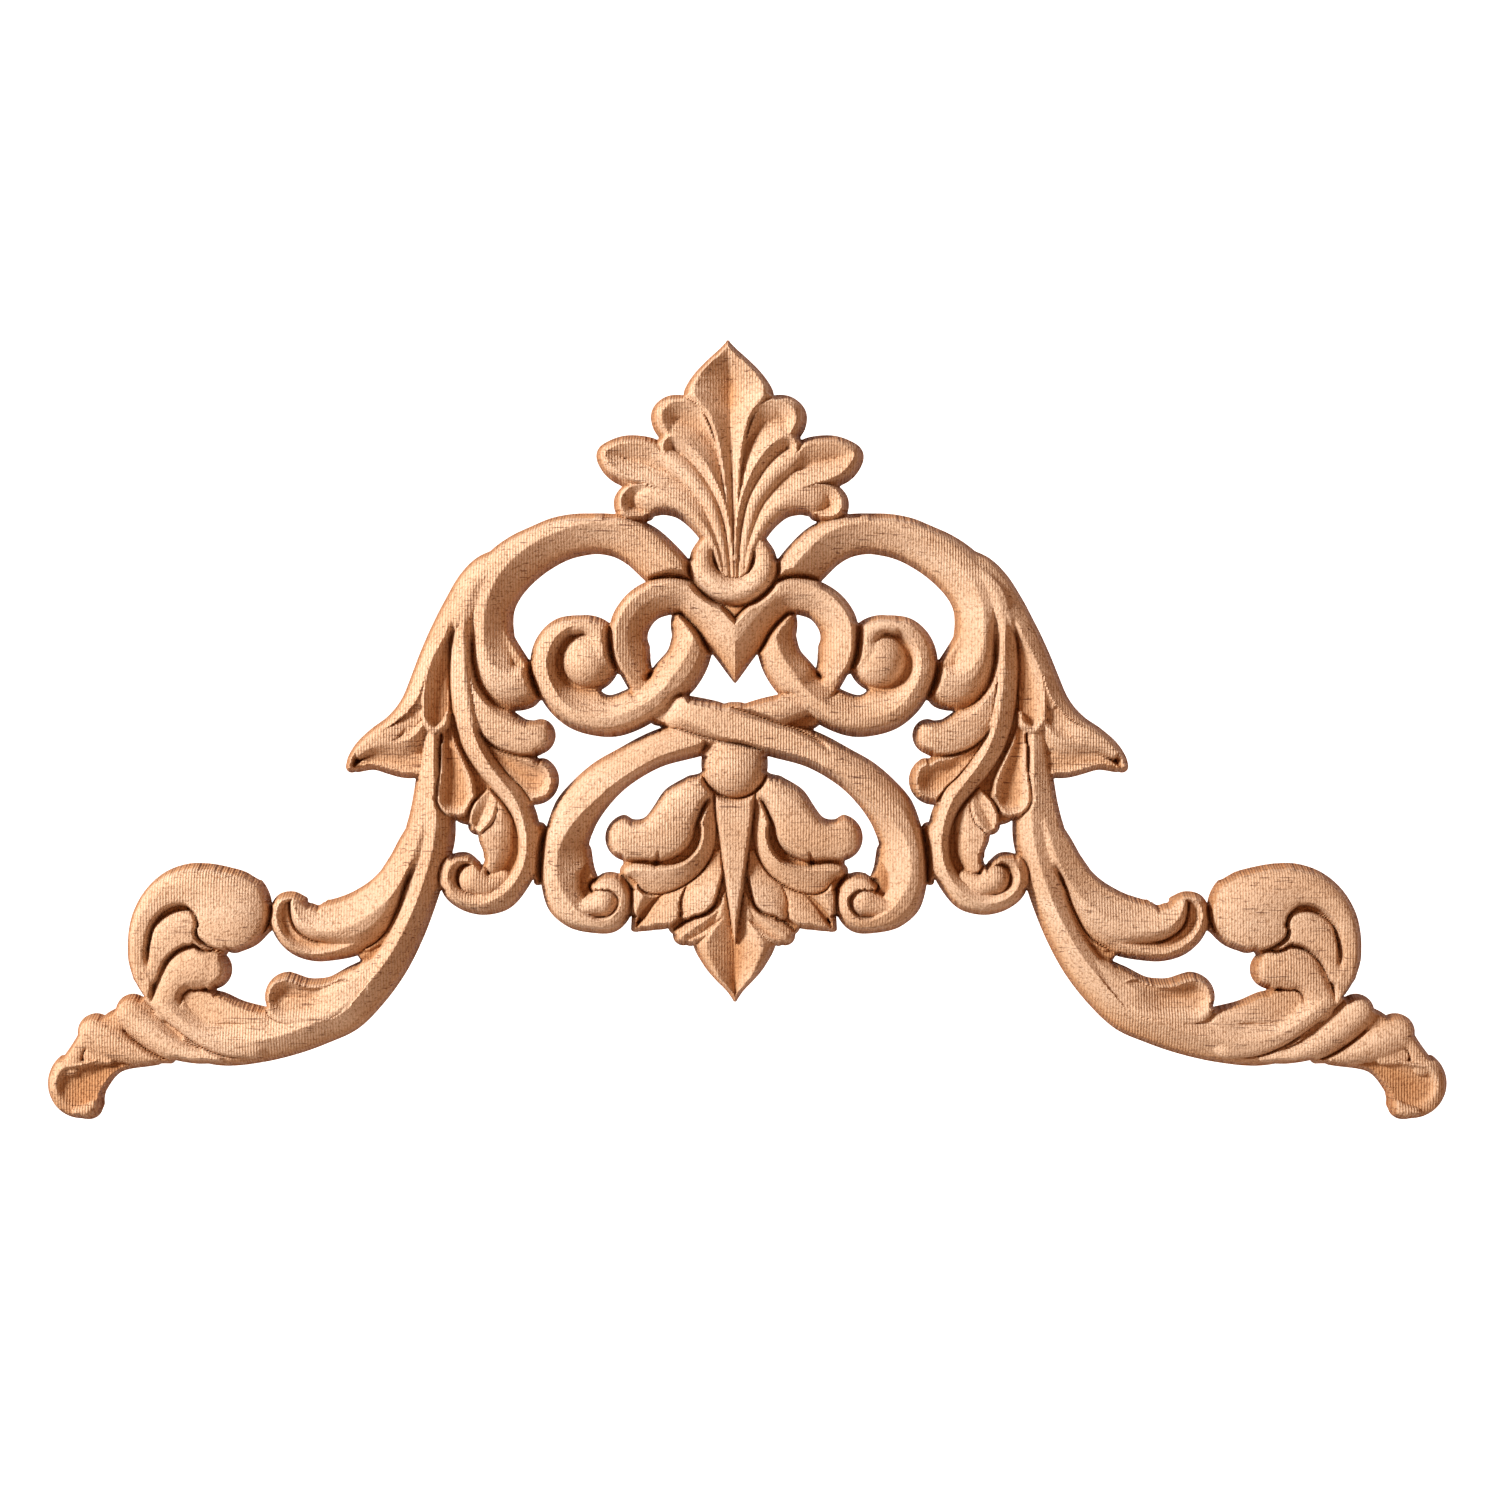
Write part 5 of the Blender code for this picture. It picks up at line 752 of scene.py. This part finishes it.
def thinned(mesh, share):
    """Fewer faces where the carving is plain, through a Decimate modifier."""
    carrier = bpy.data.objects.new("carrier", mesh)
    bpy.context.scene.collection.objects.link(carrier)
    decimate = carrier.modifiers.new("Decimate", "DECIMATE")
    decimate.ratio = share
    fewer = bpy.data.meshes.new_from_object(carrier.evaluated_get(bpy.context.evaluated_depsgraph_get()))
    bpy.data.objects.remove(carrier)
    return fewer


def make_onlay_mesh():
    """The closed carving as a mesh, thinned where it is plain."""
    wood = carved_wood()
    sheet = face_sheet(wood)
    lift(sheet, wood)
    backed(sheet)
    closed = in_order(sheet)
    sheet.free()
    bmesh.ops.triangulate(closed, faces=closed.faces)
    fine = bpy.data.meshes.new("fine_carving")
    closed.to_mesh(fine)
    mesh = thinned(fine, TRIANGLES / len(closed.faces))
    closed.free()
    bpy.data.meshes.remove(fine)
    mesh.name = "carved_onlay"
    mesh.shade_smooth()
    mesh.set_sharp_from_angle(angle=np.radians(SHARP_ANGLE))
    return mesh


WOOD_DARK = (0.53, 0.325, 0.19, 1)
WOOD_MID = (0.62, 0.425, 0.285, 1)
WOOD_PALE = (0.71, 0.525, 0.38, 1)
PORE = (0.13, 0.045, 0.02, 1)
CLEAN = (1, 1, 1, 1)  # tint that leaves the wood's colour as it is
BLACK = (0, 0, 0, 1)
TORN_DARK = (0.52, 0.38, 0.26, 1)  # fuzz of the torn grain, in its pits and on its hairs
TORN_PALE = (1.14, 1.16, 1.18, 1)
STRIPE_TINT = (0.72, 0.52, 0.34, 1)
# painted shade: the wood is darkened and warmed the deeper its face lies, standing in for the shade that
# falls in the hollows and on the low walls
PAINTED_SHADE_FLOOR = (0.55, 0.36, 0.22, 1)  # from the floor of the deepest hollows up towards the crests
PAINTED_SHADE_HOLLOW = (0.80, 0.61, 0.42, 1)
PAINTED_SHADE_SLOPE = (0.94, 0.88, 0.81, 1)
PAINTED_SHADE_PER_MM = 0.0667  # share of that tint's range to one millimetre of height
BIT_STEP = 0.0008  # metres from one pass of the bit to the next
BIT_WANDER = 0.35  # how far a pass strays, as a share of that step
STRIPE_RISE = 0.42
FUZZ_RISE = 2.6
BUMP_RISE = 0.0002  # metres that a rise of 1 stands out of the surface


def raw_wood():
    """Bare machined wood: pale faces, painted shade that darkens and warms it where the cut is deep,
    stripes of the bit, short dark pores.
    """
    material = bpy.data.materials.new("raw_carved_wood")
    material.use_nodes = True
    nodes, links = material.node_tree.nodes, material.node_tree.links
    nodes.clear()

    def node(kind, **settings):
        made = nodes.new(kind)
        made.location.x = 220 * len(nodes)
        for name, value in settings.items():
            setattr(made, name, value)
        return made

    def noise(source, scale, detail, roughness):
        made = node("ShaderNodeTexNoise")
        made.inputs["Scale"].default_value = scale
        made.inputs["Detail"].default_value = detail
        made.inputs["Roughness"].default_value = roughness
        links.new(source, made.inputs["Vector"])
        return made.outputs["Fac"]

    def stretched(size):
        made = node("ShaderNodeMapping")
        made.inputs["Scale"].default_value = size
        links.new(on_wood, made.inputs["Vector"])
        return made.outputs["Vector"]

    def ramp(source, stops):
        made = node("ShaderNodeValToRGB")
        marks = made.color_ramp.elements
        while len(marks) < len(stops):
            marks.new(0.5)
        for mark, (at, colour) in zip(marks, stops):
            mark.position, mark.color = at, colour
        links.new(source, made.inputs["Fac"])
        return made.outputs["Color"]

    def maths(operation, a, b):
        made = node("ShaderNodeMath", operation=operation)
        for socket, value in zip(made.inputs, (a, b)):
            if isinstance(value, (int, float)):
                socket.default_value = value
            else:
                links.new(value, socket)
        return made.outputs["Value"]

    def mixed(share, first, second, blend="MIX"):
        made = node("ShaderNodeMix", data_type="RGBA", blend_type=blend)
        for name, value in (("Factor", share), ("A", first), ("B", second)):
            socket = next(s for s in made.inputs if s.name == name and s.enabled)
            if isinstance(value, (int, float, tuple)):
                socket.default_value = value
            else:
                links.new(value, socket)
        return next(s for s in made.outputs if s.enabled)

    on_wood = node("ShaderNodeTexCoord").outputs["Object"]
    apart = node("ShaderNodeSeparateXYZ")
    links.new(on_wood, apart.inputs["Vector"])

    # broad drift of the wood's colour along the board, with grain that runs across it
    drift = noise(stretched((1, 1, 3.2)), scale=14, detail=3, roughness=0.5)
    grain = noise(stretched((0.16, 1, 1)), scale=120, detail=5, roughness=0.62)
    growth = maths("ADD", maths("MULTIPLY", drift, 0.6), maths("MULTIPLY", grain, 0.4))
    colour = ramp(growth, [(0.3, WOOD_DARK), (0.52, WOOD_MID), (0.72, WOOD_PALE)])

    # short dark pores, thicker in some places than in others
    pores = noise(stretched((0.055, 0.3, 1)), scale=2300, detail=1, roughness=0.5)
    pore_mask = ramp(pores, [(0.0, CLEAN), (0.31, CLEAN), (0.36, BLACK)])
    thickly = noise(on_wood, scale=40, detail=2, roughness=0.5)
    clusters = ramp(thickly, [(0.36, (0.15, 0.15, 0.15, 1)), (0.54, CLEAN)])
    pore_share = maths("MULTIPLY", maths("MULTIPLY", pore_mask, clusters), 0.75)
    colour = mixed(pore_share, colour, PORE)

    # fuzz of torn grain
    fuzz = noise(on_wood, scale=1300, detail=3, roughness=0.7)
    fuzz_tint = ramp(fuzz, [(0.36, TORN_DARK), (0.47, CLEAN), (0.62, TORN_PALE)])
    colour = mixed(0.75, colour, fuzz_tint, "MULTIPLY")

    # stripes that the bit leaves, a fixed step apart, deeper in some places than in others
    wander = maths("MULTIPLY", noise(on_wood, scale=90, detail=2, roughness=0.5), BIT_STEP * BIT_WANDER)
    across = maths("ADD", apart.outputs["X"], wander)
    wave = maths("SINE", maths("MULTIPLY", across, 2 * np.pi / BIT_STEP), 0.0)
    deeply = noise(on_wood, scale=30, detail=2, roughness=0.5)
    patch = ramp(deeply, [(0.35, (0.25, 0.25, 0.25, 1)), (0.62, CLEAN)])
    stripes = maths("MULTIPLY", wave, patch)
    stripe_tint = ramp(stripes, [(0.0, CLEAN), (1.0, STRIPE_TINT)])
    colour = mixed(0.8, colour, stripe_tint, "MULTIPLY")

    # painted shade: the deeper the cut, the darker and warmer the wood is painted, standing in for the
    # shade in the hollows
    millimetres = maths("MULTIPLY", apart.outputs["Y"], -1000)
    painted_hollow_shade = ramp(maths("MULTIPLY", millimetres, PAINTED_SHADE_PER_MM),
                       [(0.15, PAINTED_SHADE_FLOOR), (0.5, PAINTED_SHADE_HOLLOW), (0.6, PAINTED_SHADE_SLOPE), (0.72, CLEAN)])
    colour = mixed(1.0, colour, painted_hollow_shade, "MULTIPLY")

    relief = maths("ADD", maths("MULTIPLY", stripes, STRIPE_RISE), maths("MULTIPLY", fuzz, FUZZ_RISE))
    bump = node("ShaderNodeBump")
    bump.inputs["Strength"].default_value = 1.0
    bump.inputs["Distance"].default_value = BUMP_RISE
    links.new(relief, bump.inputs["Height"])
    shader = node("ShaderNodeBsdfPrincipled")
    shader.inputs["Roughness"].default_value = 0.72
    shader.inputs["Metallic"].default_value = 0.0
    shader.inputs["Specular IOR Level"].default_value = 0.25
    links.new(colour, shader.inputs["Base Color"])
    links.new(bump.outputs["Normal"], shader.inputs["Normal"])
    output = node("ShaderNodeOutputMaterial")
    links.new(shader.outputs["BSDF"], output.inputs["Surface"])
    return material


onlay = bpy.data.objects.new("carved_onlay", make_onlay_mesh())
bpy.context.scene.collection.objects.link(onlay)
onlay.data.materials.clear()
onlay.data.materials.append(raw_wood())
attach(onlay, "root")
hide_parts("onlay")


# The floor and the wall behind. Two plain sheets of pale painted board: a floor well below the onlay, and a
# wall far enough behind it to take none of its shadow.
FLOOR_Z = -1.6
WALL_Y = 3.0
FLOOR_PAINT = (0.8, 0.76, 0.7, 1)
WALL_PAINT = (0.95, 0.95, 0.95, 1)
WALL_GLOW = 1.0  # keeps the wall white whatever the lamps give it


def pale_paint(name, colour, glow):
    """Matt paint, which may glow a little of its own."""
    paint = bpy.data.materials.new(name)
    paint.use_nodes = True
    shader = paint.node_tree.nodes["Principled BSDF"]
    shader.inputs["Base Color"].default_value = colour
    shader.inputs["Roughness"].default_value = 0.9
    shader.inputs["Specular IOR Level"].default_value = 0.1
    shader.inputs["Emission Color"].default_value = (1, 1, 1, 1)
    shader.inputs["Emission Strength"].default_value = glow
    return paint


def plain_sheet(name, size, place, tilt, paint):
    """A flat sheet about its middle, tilted back by so many degrees."""
    flat = bmesh.new()
    bmesh.ops.create_grid(flat, x_segments=1, y_segments=1, size=0.5)
    bmesh.ops.scale(flat, verts=flat.verts, vec=(*size, 1))
    mesh = bpy.data.meshes.new(name)
    flat.to_mesh(mesh)
    flat.free()
    mesh.materials.append(paint)
    sheet = bpy.data.objects.new(name, mesh)
    sheet.location = place
    sheet.rotation_euler = (np.radians(tilt), 0, 0)
    bpy.context.scene.collection.objects.link(sheet)


plain_sheet("floor", size=(12, 12), place=(0, 0, FLOOR_Z), tilt=0,
            paint=pale_paint("pale_floor", FLOOR_PAINT, glow=0.0))
plain_sheet("backdrop", size=(12, 8), place=(0, WALL_Y, 2.0), tilt=90,
            paint=pale_paint("white_wall", WALL_PAINT, WALL_GLOW))


# The lamps. A soft one up and to the left of the onlay gives the pale left faces and the brown right ones.
# A weak warm one from the right, and warm light from all around, keep the hollows from going black.
AROUND = (1.0, 0.48, 0.22, 1)
AROUND_STRENGTH = 0.32


def lamp(name, place, width, watts, colour):
    """A square soft lamp that points at the middle of the onlay."""
    light = bpy.data.lights.new(name, "AREA")
    light.shape = "SQUARE"
    light.size, light.energy, light.color = width, watts, colour
    holder = bpy.data.objects.new(name, light)
    holder.location = place
    holder.rotation_euler = (-Vector(place)).to_track_quat("-Z", "Y").to_euler()
    bpy.context.scene.collection.objects.link(holder)


lamp("key", place=(-1.22, -1.02, 0.66), width=0.35, watts=59, colour=(0.99, 1.0, 1.0))
lamp("fill", place=(0.9, -1.5, -0.1), width=1.2, watts=2, colour=(1.0, 0.5, 0.22))

sky = bpy.data.worlds.new("studio")
bpy.context.scene.world = sky
sky.use_nodes = True
sky.node_tree.nodes["Background"].inputs["Color"].default_value = AROUND
sky.node_tree.nodes["Background"].inputs["Strength"].default_value = AROUND_STRENGTH
bpy.context.scene.view_settings.view_transform = "Standard"


# The camera. It stands straight in front of the carved face on a long lens, level with the middle of the
# picture, and as far off as takes in the picture's whole width at the depth of the face.
FACE_Y = -0.012
FRAME_WIDTH = 0.4258
MIDDLE_X, MIDDLE_Z = 0.00426, 0.0051
LENS = 120.0  # millimetres, as is the sensor's width
SENSOR = 36.0
camera_data = bpy.data.cameras.new("camera")
camera_data.lens, camera_data.sensor_width = LENS, SENSOR
camera = bpy.data.objects.new("camera", camera_data)
camera.location = (MIDDLE_X, FACE_Y - FRAME_WIDTH * LENS / SENSOR, MIDDLE_Z)
camera.rotation_euler = (np.radians(90), 0, 0)
bpy.context.scene.collection.objects.link(camera)
bpy.context.scene.camera = camera
